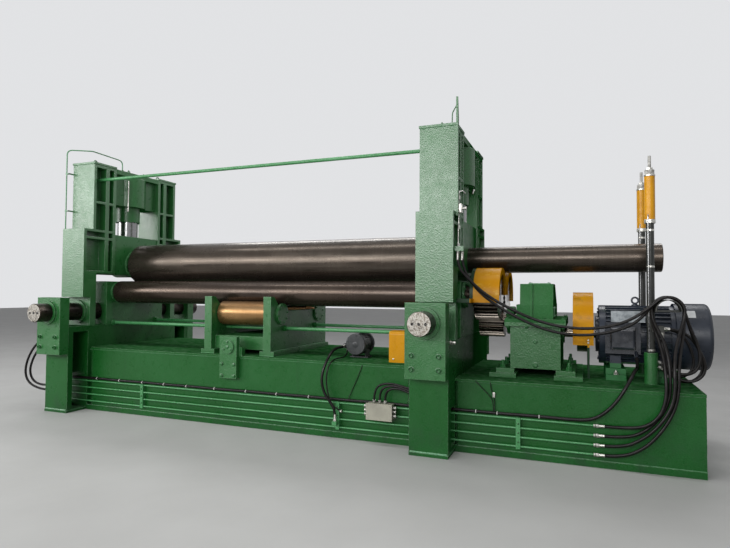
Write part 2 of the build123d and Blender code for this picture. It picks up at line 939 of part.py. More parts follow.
def shaft_seat():
    """The bore for the pinion's shaft."""
    return rod_x(pinion_shaft_r + running, gearbox_left - gearbox_cap_out - past,
                 gearbox_left + shaft_seat_depth + seat, 0, pinion_z)


def gearbox_case():
    """The lower half of the gearbox on its rails, with feet and the input shaft's cap."""
    rail_top = drive_base_top + gearbox_rail
    foot_top = rail_top + gearbox_foot
    rail_left, rail_right = gearbox_left - rail_out_left, gearbox_right + rail_out_right
    body = block(gearbox_left, gearbox_right, -gearbox_half, gearbox_half, foot_top, pinion_z)
    out = gearbox_flange_out
    body += block(gearbox_left - out, gearbox_right + out, -gearbox_half - out, gearbox_half + out,
                  pinion_z - gearbox_flange, pinion_z)
    for x0, x1 in ((rail_left, rail_left + rail_w), (rail_right - rail_w, rail_right)):
        body += block(x0, x1, -rail_half, rail_half, drive_base_top, rail_top)
    for x0, x1 in ((rail_left + foot_inset_left, rail_left + foot_inset_left + foot_w),
                   (rail_right - foot_inset_right - foot_w, rail_right - foot_inset_right)):
        body += block(x0, x1, -foot_half, foot_half, rail_top, foot_top)
    body += split_cap(lower=True)
    body += rod_x(input_cap_r, gearbox_right, gearbox_right + input_cap_out, 0, motor_axis_z)
    body -= rod_x(motor_shaft_r + seat, gearbox_right, gearbox_right + out + past, 0, motor_axis_z)
    return solid(body - shaft_seat())


def gearbox_cover():
    """The upper half of the gearbox: a stepped cover with a sloping back."""
    out = gearbox_flange_out
    tier_top = pinion_z + gearbox_flange + tier_height
    top = tier_top + cover_height
    tier_left, tier_right = gearbox_left + tier_inset_left, gearbox_right - tier_inset_right
    cover_left = gearbox_left + cover_inset
    front = -gearbox_half + cover_slope_front
    body = block(gearbox_left - out, gearbox_right + out, -gearbox_half - out, gearbox_half + out,
                 pinion_z, pinion_z + gearbox_flange)
    body += block(tier_left, tier_right, -gearbox_half, gearbox_half, pinion_z, tier_top)
    outline = [(-gearbox_half, tier_top - past), (-gearbox_half, tier_top), (front, top), (0, top),
               (gearbox_half - cover_back, tier_top), (gearbox_half - cover_back, tier_top - past)]
    body += side_profile(outline, cover_left, tier_right)
    rib_x = tier_left + cover_rib_x
    rib = [(-gearbox_half - cover_rib_w, pinion_z), (-gearbox_half - cover_rib_w, tier_top),
           (front - cover_rib_w, top), (front, top), (-gearbox_half, tier_top), (-gearbox_half, pinion_z)]
    body += side_profile(rib, rib_x, rib_x + cover_rib_w)
    body += split_cap(lower=False)
    return solid(body - shaft_seat())


# Motor and coupling

def motor_coupling():
    """The coupling between the gearbox's input shaft and the motor."""
    middle = (guard_left + guard_right) / 2
    stations = [
        (gearbox_right, motor_shaft_r),
        (middle - coupling_hub_half, motor_shaft_r),
        (middle - coupling_hub_half, coupling_hub_r),
        (middle - coupling_half, coupling_hub_r),
        (middle - coupling_half, coupling_r),
        (middle + coupling_half, coupling_r),
        (middle + coupling_half, coupling_hub_r),
        (middle + coupling_hub_half, coupling_hub_r),
        (middle + coupling_hub_half, motor_shaft_r),
        (motor_left, motor_shaft_r),
    ]
    return solid(Pos(0, 0, motor_axis_z) * turned(stations))


def arch_x(r, x0, x1, y, z_bottom, z_centre):
    """A solid with upright sides and a round top, along X."""
    top = rod_x(r, x0, x1, y, z_centre) & block(x0, x1, y - r, y + r, z_centre, z_centre + r)
    return top + block(x0, x1, y - r, y + r, z_bottom, z_centre)


def coupling_guard():
    """A bent sheet over the coupling, on two legs."""
    r = guard_half
    z = motor_axis_z + guard_above - r
    bottom = motor_axis_z - guard_below
    shell = arch_x(r, guard_left, guard_right, 0, bottom, z)
    shell -= arch_x(r - guard_sheet, guard_left - past, guard_right + past, 0, bottom - past, z)
    leg_right = guard_right - guard_leg_inset + guard_leg
    for depth_sign in (-1, 1):
        shell += block(leg_right - guard_leg, leg_right, *span(depth_sign, r - guard_leg, r),
                       drive_base_top, bottom + guard_leg_overlap)
    return solid(shell)


def motor_frame():
    """The finned motor body with its end shield, on stepped feet."""
    x0, x1 = motor_left, motor_body_right
    fins_left, fins_right = x0 + motor_front_ring, x1 - motor_back_ring
    body = rod_x(motor_r - fin_depth, x0, x1, 0, motor_axis_z)
    body += rod_x(motor_r, x0, fins_left, 0, motor_axis_z)
    body += rod_x(motor_r, fins_right, x1, 0, motor_axis_z)
    body += rod_x(motor_shield_r, x0 - motor_shield_out, x0, 0, motor_axis_z)
    body -= rod_x(motor_shaft_r + seat, x0 - motor_shield_out - past, x0, 0, motor_axis_z)
    for step in range(fin_count):
        fin = block(fins_left, fins_right, -fin_thick / 2, fin_thick / 2, motor_r - fin_depth - fin_root, motor_r)
        body += Pos(0, 0, motor_axis_z) * Rot(360 * step / fin_count, 0, 0) * fin
    pad_top = drive_base_top + motor_foot_pad
    step_top = pad_top + motor_foot_step
    first = x0 + motor_foot_inset
    for xa, xb in ((first, first + motor_foot_w), (x1 - motor_foot_w, x1)):
        body += block(xa, xb, -motor_foot_half, motor_foot_half, drive_base_top, pad_top)
        step_half = motor_foot_half - motor_foot_step_inset
        body += block(xa, xb, -step_half, step_half, pad_top, step_top)
        leg = (xa + motor_leg_inset, xb - motor_leg_inset)
        body += block(*leg, -motor_leg_half, motor_leg_half, step_top, motor_axis_z - motor_r / 2)
    return solid(body)


def motor_fan_cover():
    """The fan cover, with a slotted grille in its end."""
    cover = rod_x(motor_fan_r, motor_body_right, motor_right, 0, motor_axis_z)
    cover = fillet(cover.edges().group_by(Axis.X)[-1], motor_fan_round)
    for ring in range(1, grille_rings + 1):
        r = ring * grille_pitch
        slot = rod_x(r + grille_slot / 2, motor_right - grille_depth, motor_right + past, 0, motor_axis_z)
        slot -= rod_x(r - grille_slot / 2, motor_right - grille_depth, motor_right + past, 0, motor_axis_z)
        cross = grille_spoke / 2
        slot -= block(motor_right - grille_depth, motor_right + past, -r * 2, r * 2,
                      motor_axis_z - cross, motor_axis_z + cross)
        slot -= block(motor_right - grille_depth, motor_right + past, -cross, cross,
                      motor_axis_z - r * 2, motor_axis_z + r * 2)
        cover -= slot
    return solid(cover)


def gland_line(reach=0.0):
    """The tip of the cable's gland, and the point at a distance straight out of it."""
    tilt = radians(cable_gland_tilt)
    tip = (cable_gland_x, -cable_gland_y, cable_gland_z)
    return tip, (cable_gland_x, -cable_gland_y - reach * cos(tilt), cable_gland_z - reach * sin(tilt))


def terminal_box():
    """The terminal box on the motor's front side, with its rounded lid and its cable gland."""
    x0, x1 = motor_left + terminal_inset, motor_left + terminal_inset + terminal_length
    inset = terminal_lid_inset
    lid = block(x0 + inset, x1 - inset, -terminal_front, -terminal_rim_front,
                terminal_bottom + inset, terminal_top - inset)
    lid = fillet(lid.faces().sort_by(Axis.Y)[0].edges(), terminal_lid_round)
    body = block(x0, x1, -terminal_rim_front, -terminal_back, terminal_bottom, terminal_top) + lid
    body -= rod_x(motor_r + seat, x0 - past, x1 + past, 0, motor_axis_z)
    tip, back = gland_line(-cable_gland_length)
    gland = extrude(Plane(origin=tip, z_dir=Vector(*back) - Vector(*tip)) * Circle(cable_gland_r),
                    amount=cable_gland_length)
    return solid(body + gland)


def upper_box():
    """The small rough box above the terminal box, shaped to the motor's side."""
    x0 = motor_left + terminal_inset + upper_box_inset
    z0 = terminal_top + past
    body = block(x0, x0 + upper_box_length, -terminal_rim_front, -upper_box_back, z0, z0 + upper_box_height)
    body -= rod_x(motor_r + seat, x0 - past, x0 + upper_box_length + past, 0, motor_axis_z)
    return body.solids().sort_by(SortBy.VOLUME)[-1]


# Tail cylinders

def tail_cylinder(depth_sign):
    """One upright cylinder beside the upper roll's tail."""
    y = tail_column_y * depth_sign
    x = tail_column_x
    barrel_top = tail_barrel_bottom + tail_barrel_length
    cap_top = barrel_top + tail_cap_height
    body = rod_z(column_r, pedestal_top, tail_barrel_bottom, x, y)
    body += rod_z(tail_barrel_r, tail_barrel_bottom, barrel_top, x, y)
    body += rod_z(tail_cap_r, barrel_top, cap_top, x, y)
    body += rod_z(tail_stem_r, cap_top, cap_top + tail_stem_height, x, y)
    if depth_sign < 0:
        body += tail_port()
        body += hose_saddle()
    return solid(body)


def tail_port():
    """The port block on the front column, with two nipples pointing down."""
    top = tail_port_z + tail_port_height
    body = block(tail_column_x, tail_column_x + tail_port_out, -tail_port_front, -tail_port_back, tail_port_z, top)
    for y in tail_nipple_ys:
        body += rod_z(ferrule_r, tail_port_z - nipple_length, tail_port_z, tail_nipple_x, y)
    return body


def hose_saddle():
    """The half-round saddle that the hoses cross, on an arm clamped to the front column."""
    keep = block(saddle_x - saddle_r, saddle_x + saddle_r, -saddle_front, -saddle_back,
                 saddle_z, saddle_z + saddle_r)
    shell = rod_y(saddle_r, -saddle_front, -saddle_back, saddle_x, saddle_z) & keep
    shell -= rod_y(saddle_r - saddle_thick, -saddle_front - past, -saddle_back + past, saddle_x, saddle_z)
    left = saddle_x - saddle_r + saddle_thick / 2
    arm_z = saddle_z - saddle_arm_thick / 2
    shell += block(left, saddle_x + saddle_r, -saddle_back - saddle_arm, -saddle_back,
                   arm_z, arm_z + saddle_arm_thick)
    shell += block(left, left + saddle_arm, -saddle_back - saddle_arm, -tail_column_y,
                   arm_z, arm_z + saddle_arm_thick)
    shell += rod_z(saddle_clamp_r, saddle_z - saddle_clamp_height / 2, saddle_z + saddle_clamp_height / 2,
                   tail_column_x, -tail_column_y)
    return shell


def tail_pedestal(depth_sign):
    return rod_z(pedestal_r, drive_base_top, pedestal_top, tail_column_x, tail_column_y * depth_sign)


# Pump set

def pump_motor():
    """The pump's finned motor with its fan cover, the pump on its flange and a hose port."""
    fan_end = pump_fan_length
    body_end = fan_end + pump_body_length
    flange_end = body_end + pump_flange
    stations = [
        (0, pump_fan_r - pump_fan_round),
        (pump_fan_round, pump_fan_r),
        (fan_end, pump_fan_r),
        (fan_end, pump_body_r),
        (body_end, pump_body_r),
        (body_end, pump_flange_r),
        (flange_end, pump_flange_r),
        (flange_end, pump_block_r),
        (flange_end + pump_block_length, pump_block_r),
    ]
    body = turned(stations)
    for step in range(pump_fin_count):
        fin = block(fan_end, body_end, -fin_thick / 4, fin_thick / 4, pump_body_r - fin_root, pump_fin_r)
        body += Rot(360 * step / pump_fin_count, 0, 0) * fin
    body = Pos(pump_x, -pump_front, pump_axis_z) * Rot(0, 0, 90) * body
    y0, y1 = -pump_front + fan_end + pump_foot_inset, -pump_front + body_end - pump_foot_inset
    half = pump_foot_half
    body += block(pump_x - half, pump_x + half, y0, y1, roll_base_top, roll_base_top + pump_foot_plate)
    for side in (-1, 1):
        xa, xb = span(side, half - 3 * pump_foot_web, half - 2 * pump_foot_web)
        body += block(pump_x + xa, pump_x + xb, y0, y1, roll_base_top, pump_axis_z)
    port = pump_port_half
    body += block(pump_port_x - port, pump_x, -pump_port_front, -pump_port_front + 2 * port,
                  pump_port_z - port, pump_port_z + port)
    body += rod_y(ferrule_r, -pump_port_front - port, -pump_port_front, pump_port_x, pump_port_z)
    return solid(body)


def pump_guard():
    """The closed yellow guard of the pump's coupling, round on top."""
    body = block(pump_guard_left, pump_guard_right, -pump_guard_front, -pump_guard_back,
                 roll_base_top, pump_guard_top)
    return fillet(body.edges().filter_by(Axis.X).group_by(Axis.Z)[-1], pump_guard_round)


# Pipes and wiring

def clamp_bar(x):
    """The bar that holds all rows of pipe on the base's web."""
    x0, x1 = x - clamp_w / 2, x + clamp_w / 2
    face = base_web + apron_thick
    bottom = pipe_rows[0] - pipe_r - clamp_past
    return (block(x0, x1, -pipe_y - pipe_r - clamp_cover, -face, bottom, pipe_rows[-1] + clamp_past)
            + block(x0, x1, -face, -base_web, bottom, apron_bottom - seat))


def hose_end(x, y, z, direction):
    """The nut and the crimped end of a hose, whose tip lies at x."""
    nut = extrude(Plane.YZ * RegularPolygon(nut_r, 6), amount=nut_length)
    ferrule = rod_x(ferrule_r, nut_length - past, ferrule_length, 0, 0)
    body = nut + ferrule
    turn = Rot(0, 0, 180) if direction < 0 else Rot(0, 0, 0)
    return Pos(x - direction * ferrule_length, y, z) * turn * body


def roll_base_pipes():
    """The pipes on the roll base, with their clamps and the block that feeds the pump's hose."""
    stub_end = -outer_x - pipe_stub - nipple_length / 2
    body = clamp_bar(roll_clamp_x[0])
    for x in roll_clamp_x[1:]:
        body += clamp_bar(x)
    for z in pipe_rows:
        x0 = stub_end + ferrule_length / 2 if z in through_rows else -inner_x - foot_recess + pipe_end_gap
        body += rod_x(pipe_r, x0, outer_x, -pipe_y, z)
    for z in through_rows:
        body += hose_end(stub_end, -pipe_y, z, -1)
    body += block(manifold_x - manifold_half, manifold_x + manifold_half, -manifold_front, -pipe_y,
                  manifold_bottom, manifold_top)
    body += rod_z(ferrule_r, manifold_top, manifold_top + nipple_length, manifold_x, -manifold_nipple_y)
    return solid(body)


def drive_base_pipes():
    """The pipes on the drive base, each with a hose end."""
    body = clamp_bar(drive_clamp_x[0])
    for z in pipe_rows:
        body += rod_x(pipe_r, outer_x + seat, drive_pipe_end + nut_length, -pipe_y, z)
        body += hose_end(drive_pipe_end + ferrule_length, -pipe_y, z, 1)
    return solid(body)


def junction_box():
    """The junction box in front of the pipes, with its lid."""
    back = pipe_y + pipe_r + seat
    lid_back = back + junction_depth - junction_lid
    body = block(junction_left, junction_right, -lid_back, -back, junction_bottom, junction_top)
    lip = junction_lid_lip
    body += block(junction_left - lip, junction_right + lip, -back - junction_depth, -lid_back,
                  junction_bottom - lip, junction_top + lip)
    return solid(body)


def top_tie_pipe():
    reach = inner_x + post_recess
    return rod_x(tie_pipe_r, -reach, reach, -tie_pipe_y, tie_pipe_z)


def stay_rods():
    return [rod_x(stay_r, -inner_x, inner_x, stay_y * s, stay_z) for s in (-1, 1)]


# Hoses and cable: each lies on its own route, given point by point

def tube(diameter, points):
    """A hose of straight runs with rounded corners."""
    bends = []
    for before, here, after in zip(points, points[1:], points[2:]):
        run_in = Vector(*here) - Vector(*before)
        run_out = Vector(*after) - Vector(*here)
        turn = radians(run_in.get_angle(run_out))
        bends.append(bend_share * min(run_in.length, run_out.length) / tan(turn / 2))
    path = FilletPolyline(*points, radius=bends)
    section = Plane(origin=path @ 0, z_dir=path % 0) * Circle(diameter / 2)
    body = solid(sweep(section, path=path))
    print(f"length {path.length:.0f}, tightest bend {min(bends):.0f}, bends {[round(b) for b in bends]}")
    return body


def over_saddle(y):
    """The four corners of a hose's way over the saddle."""
    reach = saddle_r + saddle_gap + hose_d / 2
    half = reach * tan(pi / 8)
    return [
        (saddle_x - reach, y, saddle_z + half), (saddle_x - half, y, saddle_z + reach),
        (saddle_x + half, y, saddle_z + reach), (saddle_x + reach, y, saddle_z + half),
    ]


def left_hose_outer():
    y, z = left_ports()[0]
    return tube(hose_d, [
        (-outer_x - pipe_stub, y, z), (-2790, y, z), (-2962, -1000, 817), (-3095, -1005, 630),
        (-3150, -1000, 440), (-3105, -975, 300), (-2970, -925, 225), (-2810, -pipe_y, through_rows[0]),
        (-outer_x - pipe_stub - nipple_length / 2, -pipe_y, through_rows[0]),
    ])


def left_hose_inner():
    y, z = left_ports()[1]
    return tube(hose_d, [
        (-outer_x - pipe_stub, y, z), (-2780, y, z), (-2945, -950, 780), (-3075, -953, 610),
        (-3135, -945, 440), (-3085, -920, 310), (-2950, -885, 265), (-2800, -pipe_y, through_rows[1]),
        (-outer_x - pipe_stub - nipple_length / 2, -pipe_y, through_rows[1]),
    ])


def post_hose_front():
    x, y = hose_ports_right()[0]
    return tube(hose_d, [
        (x, y, hose_port_z - nipple_length), (x, y, 1800), (2735, -800, 1680), (2916, -745, 1508),
        (3223, -715, 1342), (3476, -705, 1250), (3721, -705, 1216), (3959, -705, 1230), (4180, -700, 1305),
        *over_saddle(-700),
        (4604, -700, 1340), (4552, -750, 1190), (4508, -830, 1040), (4494, -895, 890), (4496, -905, 740),
        (4474, -910, 600), (4390, -910, 447), (4265, -890, 308), (4100, -pipe_y, pipe_rows[1]),
        (drive_pipe_end + ferrule_length, -pipe_y, pipe_rows[1]),
    ])


def post_hose_rear():
    x, y = hose_ports_right()[1]
    return tube(hose_d, [
        (x, y, hose_port_z - nipple_length), (x, y, 1800), (2788, -740, 1595), (2959, -690, 1440),
        (3198, -670, 1299), (3469, -665, 1185), (3740, -665, 1148), (4001, -665, 1183), (4225, -665, 1275),
        *over_saddle(-665),
        (4604, -665, 1340), (4590, -715, 1190), (4552, -795, 1040), (4530, -865, 890), (4528, -878, 740),
        (4500, -885, 580), (4410, -900, 400), (4270, -890, 225), (4090, -pipe_y, pipe_rows[0]),
        (drive_pipe_end + ferrule_length, -pipe_y, pipe_rows[0]),
    ])


def tail_hose_front():
    return tube(hose_d, [
        (drive_pipe_end + ferrule_length, -pipe_y, pipe_rows[3]), (4110, -pipe_y, pipe_rows[3]),
        (4275, -890, 405), (4385, -908, 510), (4430, -908, 660), (4432, -895, 820), (4424, -835, 980),
        (4400, -740, 1130), (4368, -640, 1240), (4356, -590, 1335), *over_saddle(-590),
        (4640, -560, 1330), (4700, -520, 1130), (4789, -490, 950), (4789, -490, 838),
        (4710, -490, 760), (4599, -480, 760), (4521, -470, 838), (4520, -445, 950),
        (tail_nipple_x, tail_nipple_ys[0], 1065), (tail_nipple_x, tail_nipple_ys[0], tail_port_z - nipple_length),
    ])


def tail_hose_rear():
    return tube(hose_d, [
        (drive_pipe_end + ferrule_length, -pipe_y, pipe_rows[2]), (4100, -pipe_y, pipe_rows[2]),
        (4255, -862, 345), (4400, -878, 505), (4462, -878, 670), (4465, -872, 830), (4462, -850, 960),
        (4440, -785, 1110), (4395, -690, 1230), (4356, -625, 1335), *over_saddle(-625),
        (4625, -600, 1350), (4680, -570, 1200), (4739, -560, 1050), (4739, -560, 903),
        (4661, -548, 825), (4549, -515, 825), (4471, -485, 903), (4469, -458, 1005),
        (tail_nipple_x, tail_nipple_ys[1], 1080), (tail_nipple_x, tail_nipple_ys[1], tail_port_z - nipple_length),
    ])


def pump_hose():
    return tube(hose_d, [
        (pump_port_x, -pump_port_front - pump_port_half, pump_port_z), (pump_port_x, -600, pump_port_z),
        (1274, -750, 925), (1262, -868, 850), (1225, -925, 715), (1215, -935, 590), (1245, -925, 475),
        (1310, -912, 385), (manifold_x, -manifold_nipple_y, 300),
        (manifold_x, -manifold_nipple_y, manifold_top + nipple_length),
    ])


def cable_bundle():
    """The cable along the base, slack between its ties, and up to the motor's gland."""
    y = -base_web - apron_thick - bundle_d / 2 - seat
    low, high = bundle_z, bundle_z + 5
    tip = gland_line()[0]
    return tube(bundle_d, [
        (-2450, y, low), (-2030, y, high), (-1656, y, low), (-1285, y, high), (-950, y, low),
        (-613, y, high), (-210, y, low), (220, y, high), (620, y, low), (1020, y, high), (1420, y, low),
        (1820, y, high), (2220, y, low), (2620, y, high), (3020, y, low), (3400, y, high), (3680, y, low),
        (3850, -850, 420), (3965, -868, 500), (4060, -875, 612), (4135, -862, 745), (4185, -790, 830),
        (4215, -680, 862), gland_line(140)[1], tip,
    ])


def main():
    os.makedirs(PARTS, exist_ok=True)
    for name, side in stand_sides():
        save(f"{name}_lower_frame", lower_frame(side))
        save(f"{name}_front_post", post(side, -1))
        save(f"{name}_rear_post", post(side, 1))
        save(f"{name}_crosshead", crosshead(side))
        save(f"{name}_main_cylinder", main_cylinder(side))
        save(f"{name}_piston_rod", ram(side))
        save(f"{name}_upper_bearing", upper_bearing(side))
        save(f"{name}_lower_housing", lower_housing(side))
        save(f"{name}_shift_rods", shift_rod(side, -1), shift_rod(side, 1))
        save(f"{name}_keeper_blocks", keeper_block(side, -1), keeper_block(side, 1))
    save("base_roll_section", roll_base())
    save("base_drive_section", drive_base())
    save("upper_roll", upper_roll())
    for name, depth_sign in (("front", -1), ("rear", 1)):
        save(f"{name}_lower_roll", lower_roll(depth_sign))
        save(f"{name}_roll_gear", roll_gear(depth_sign))
        save(f"{name}_support_roller", support_roller(depth_sign))
        save(f"{name}_gear_hood", gear_hood(depth_sign))
        save(f"{name}_adjuster", adjuster(depth_sign))
        save(f"{name}_tail_cylinder", tail_cylinder(depth_sign))
    save("support_bracket", support_bracket())
    save("stay_rods", *stay_rods())
    save("drive_pinion", drive_pinion())
    save("gearbox_case", gearbox_case())
    save("gearbox_cover", gearbox_cover())
    save("motor_coupling", motor_coupling())
    save("coupling_guard", coupling_guard())
    save("motor_frame", motor_frame())
    save("motor_fan_cover", motor_fan_cover())
    save("motor_terminal_box", terminal_box(), upper_box())
    save("tail_pedestals", tail_pedestal(-1), tail_pedestal(1))
    save("pump_motor", pump_motor())
    save("pump_guard", pump_guard())
    save("roll_base_pipes", roll_base_pipes())
    save("drive_base_pipes", drive_base_pipes())
    save("cable_bundle", cable_bundle())
    save("junction_box", junction_box())
    save("top_tie_pipe", top_tie_pipe())
    save("left_hose_outer", left_hose_outer())
    save("left_hose_inner", left_hose_inner())
    save("post_hose_front", post_hose_front())
    save("post_hose_rear", post_hose_rear())
    save("tail_hose_front", tail_hose_front())
    save("tail_hose_rear", tail_hose_rear())
    save("pump_hose", pump_hose())


main()
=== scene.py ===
"""Looks of the plate rolling machine: camera, finishes, hoses, small pieces, floor and light. Metres."""
import json
import math
import random

import bmesh
import bpy
from mathutils import Matrix, Vector


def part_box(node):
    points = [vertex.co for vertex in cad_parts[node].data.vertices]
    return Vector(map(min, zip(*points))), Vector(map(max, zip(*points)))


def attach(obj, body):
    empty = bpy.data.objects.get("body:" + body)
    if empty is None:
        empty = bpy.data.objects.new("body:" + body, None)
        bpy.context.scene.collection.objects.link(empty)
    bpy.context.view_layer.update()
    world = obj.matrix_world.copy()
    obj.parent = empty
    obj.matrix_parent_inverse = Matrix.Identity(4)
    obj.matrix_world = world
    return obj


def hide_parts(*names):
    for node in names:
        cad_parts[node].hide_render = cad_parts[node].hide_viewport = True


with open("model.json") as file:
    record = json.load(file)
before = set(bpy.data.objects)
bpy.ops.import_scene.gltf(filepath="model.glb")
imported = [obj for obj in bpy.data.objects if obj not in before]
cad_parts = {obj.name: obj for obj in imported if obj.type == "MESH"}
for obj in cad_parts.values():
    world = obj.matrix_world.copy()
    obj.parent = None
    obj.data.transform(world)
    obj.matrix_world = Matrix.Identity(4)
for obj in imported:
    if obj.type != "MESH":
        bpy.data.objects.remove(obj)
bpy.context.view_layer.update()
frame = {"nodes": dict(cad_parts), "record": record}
random.seed(7)

FRAME_BODY = "machine_frame"
LIFT_BODY = "lift_carriage"
SLOT_OF = {part["node"]: part["material_slot"] for part in frame["record"]["subparts"]}
BOTH = (-1, 1)
FOUR = [(side, depth) for side in BOTH for depth in BOTH]
ALONG, DEEP, UP = (1, 0, 0), (0, 1, 0), (0, 0, 1)


# Camera: the photograph's own view
IMAGE_WIDTH = 730
FOCAL_PIXELS = 548
SENSOR = 36.0
CAMERA_PLACE = Vector((3.777, -6.165, 1.55))
CAMERA_YAW = math.radians(21.644)
CAMERA_PITCH = math.radians(1.82)
CAMERA_ROLL = math.radians(0.39)


def make_camera():
    data = bpy.data.cameras.new("camera")
    data.sensor_width = SENSOR
    data.lens = SENSOR * FOCAL_PIXELS / IMAGE_WIDTH
    camera = bpy.data.objects.new("camera", data)
    bpy.context.scene.collection.objects.link(camera)
    level = math.cos(CAMERA_PITCH)
    forward = Vector((-math.sin(CAMERA_YAW) * level, math.cos(CAMERA_YAW) * level, math.sin(CAMERA_PITCH)))
    flat_right = Vector((math.cos(CAMERA_YAW), math.sin(CAMERA_YAW), 0))
    flat_up = flat_right.cross(forward)
    right = flat_right * math.cos(CAMERA_ROLL) + flat_up * math.sin(CAMERA_ROLL)
    up = flat_up * math.cos(CAMERA_ROLL) - flat_right * math.sin(CAMERA_ROLL)
    turn = Matrix((right, up, -forward)).transposed().to_4x4()
    camera.matrix_world = Matrix.Translation(CAMERA_PLACE) @ turn
    bpy.context.scene.camera = camera


make_camera()


# Finishes
EVEN = (1, 1, 1)
NOISE_ROUGHNESS = 0.55


class Finish:
    """A material whose nodes are added one by one, with patterns in the object's own coordinates."""

    def __init__(self, name, metallic=0.0, coat=0.0, coat_roughness=0.1):
        self.material = bpy.data.materials.new(name)
        self.material.use_nodes = True
        self.tree = self.material.node_tree
        self.shader = self.tree.nodes["Principled BSDF"]
        self.shader.inputs["Metallic"].default_value = metallic
        self.shader.inputs["Coat Weight"].default_value = coat
        self.shader.inputs["Coat Roughness"].default_value = coat_roughness
        self.place = self.add("ShaderNodeTexCoord").outputs["Object"]

    def add(self, kind, inputs=None, **settings):
        """A node, with what its inputs get: plain values or other nodes' outputs."""
        node = self.tree.nodes.new(kind)
        for key, value in settings.items():
            setattr(node, key, value)
        for key, value in (inputs or {}).items():
            self.join(value, node.inputs[key])
        return node

    def join(self, source, target):
        if isinstance(source, bpy.types.NodeSocket):
            self.tree.links.new(source, target)
        else:
            target.default_value = source

    def pattern(self, kind, scale, stretch, inputs=None, **settings):
        """A texture node on the object's coordinates, stretched along its axes."""
        place = self.add("ShaderNodeMapping", {"Scale": stretch, "Vector": self.place}).outputs["Vector"]
        return self.add(kind, {"Scale": scale, "Vector": place, **(inputs or {})}, **settings)

    def noise(self, scale, detail, stretch=EVEN):
        inputs = {"Detail": detail, "Roughness": NOISE_ROUGHNESS}
        return self.pattern("ShaderNodeTexNoise", scale, stretch, inputs).outputs["Fac"]

    def cells(self, scale):
        return self.pattern("ShaderNodeTexVoronoi", scale, EVEN, feature="SMOOTH_F1").outputs["Distance"]

    def spread(self, value, low, high, to_low=0.0, to_high=1.0):
        inputs = {"Value": value, "From Min": low, "From Max": high, "To Min": to_low, "To Max": to_high}
        return self.add("ShaderNodeMapRange", inputs).outputs["Result"]

    def patches(self, scale, detail, low, high, most=1.0, stretch=EVEN):
        """Noise as patches: nothing below one level, the most above the other."""
        return self.spread(self.noise(scale, detail, stretch), low, high, 0.0, most)

    def times(self, first, second):
        return self.add("ShaderNodeMath", {0: first, 1: second}, operation="MULTIPLY").outputs[0]

    def blend(self, amount, first, second):
        """One colour over another, by an amount."""
        inputs = {0: amount}
        for key, colour in ((6, first), (7, second)):
            inputs[key] = colour if isinstance(colour, bpy.types.NodeSocket) else (*colour, 1.0)
        return self.add("ShaderNodeMix", inputs, data_type="RGBA").outputs[2]

    def normal(self):
        return self.add("ShaderNodeNewGeometry").outputs["Normal"]

    def rounded_normal(self, radius):
        return self.add("ShaderNodeBevel", {"Radius": radius}, samples=4).outputs["Normal"]

    def part(self, vector, axis):
        """One coordinate of a vector."""
        return self.add("ShaderNodeSeparateXYZ", {0: vector}).outputs[axis]

    def above(self, split, axis="Z"):
        """1 above a height, or past a place on another axis, and 0 before it."""
        return self.spread(self.part(self.place, axis), split - 0.001, split + 0.001)

    def edges(self, radius):
        """Where an outer or inner edge runs, from the rounded normal."""
        inputs = {0: self.rounded_normal(radius), 1: self.normal()}
        alike = self.add("ShaderNodeVectorMath", inputs, operation="DOT_PRODUCT").outputs["Value"]
        return self.spread(alike, 0.84, 0.99, 1.0, 0.0)

    def paint(self, base, *layers):
        """The colour: a base under layers, each an amount and its colour."""
        for amount, colour in layers:
            base = self.blend(amount, base, colour)
        self.join(base, self.shader.inputs["Base Color"])

    def rough(self, smooth, matt, scale, detail=5, low=0.35, high=0.65, stretch=EVEN, more=None):
        """Roughness that wanders between two levels, with more of it where asked."""
        value = self.spread(self.noise(scale, detail, stretch), low, high, smooth, matt)
        if more is not None:
            value = self.add("ShaderNodeMath", {0: value, 1: more}, operation="ADD").outputs[0]
        self.join(value, self.shader.inputs["Roughness"])

    def matt_at_edges(self, level=0.5, start=0.50, end=0.82):
        """Less reflection where the surface is seen at a flat angle, as on a dusty skin."""
        facing = self.add("ShaderNodeLayerWeight").outputs["Facing"]
        reflection = self.shader.inputs["Specular IOR Level"]
        reflection.default_value = level
        self.join(self.spread(facing, start, end, level, 0.0), reflection)

    def bump(self, height, strength, distance, rounded=0.0):
        inputs = {"Strength": strength, "Distance": distance, "Height": height}
        if rounded:
            inputs["Normal"] = self.rounded_normal(rounded)
        self.join(self.add("ShaderNodeBump", inputs).outputs["Normal"], self.shader.inputs["Normal"])


# Lines where one node changes colour: heights, and for the hoods a place along the rolls
BARREL_LOW = 2.230
BARREL_HIGH = 2.670
HOOD_ARM_END = 2.745
GUARD_LEG_TOP = 1.010
MOTOR_FOOT_TOP = 0.860
UPPER_BOX_BOTTOM = 1.268

GREEN = (0.008, 0.094, 0.014)
GREEN_LIGHT = (0.034, 0.160, 0.048)
# Pale green of rubbed paint, also used as a painted highlight along the edges of the enamel.
GREEN_WORN_AND_HIGHLIGHT = (0.260, 0.400, 0.270)
GREEN_DIRT = (0.010, 0.034, 0.014)
YELLOW = (0.520, 0.225, 0.001)
YELLOW_LIGHT = (0.620, 0.300, 0.004)
YELLOW_WORN = (0.680, 0.440, 0.080)
BLUE = (0.013, 0.018, 0.030)
BLUE_LIGHT = (0.024, 0.032, 0.050)


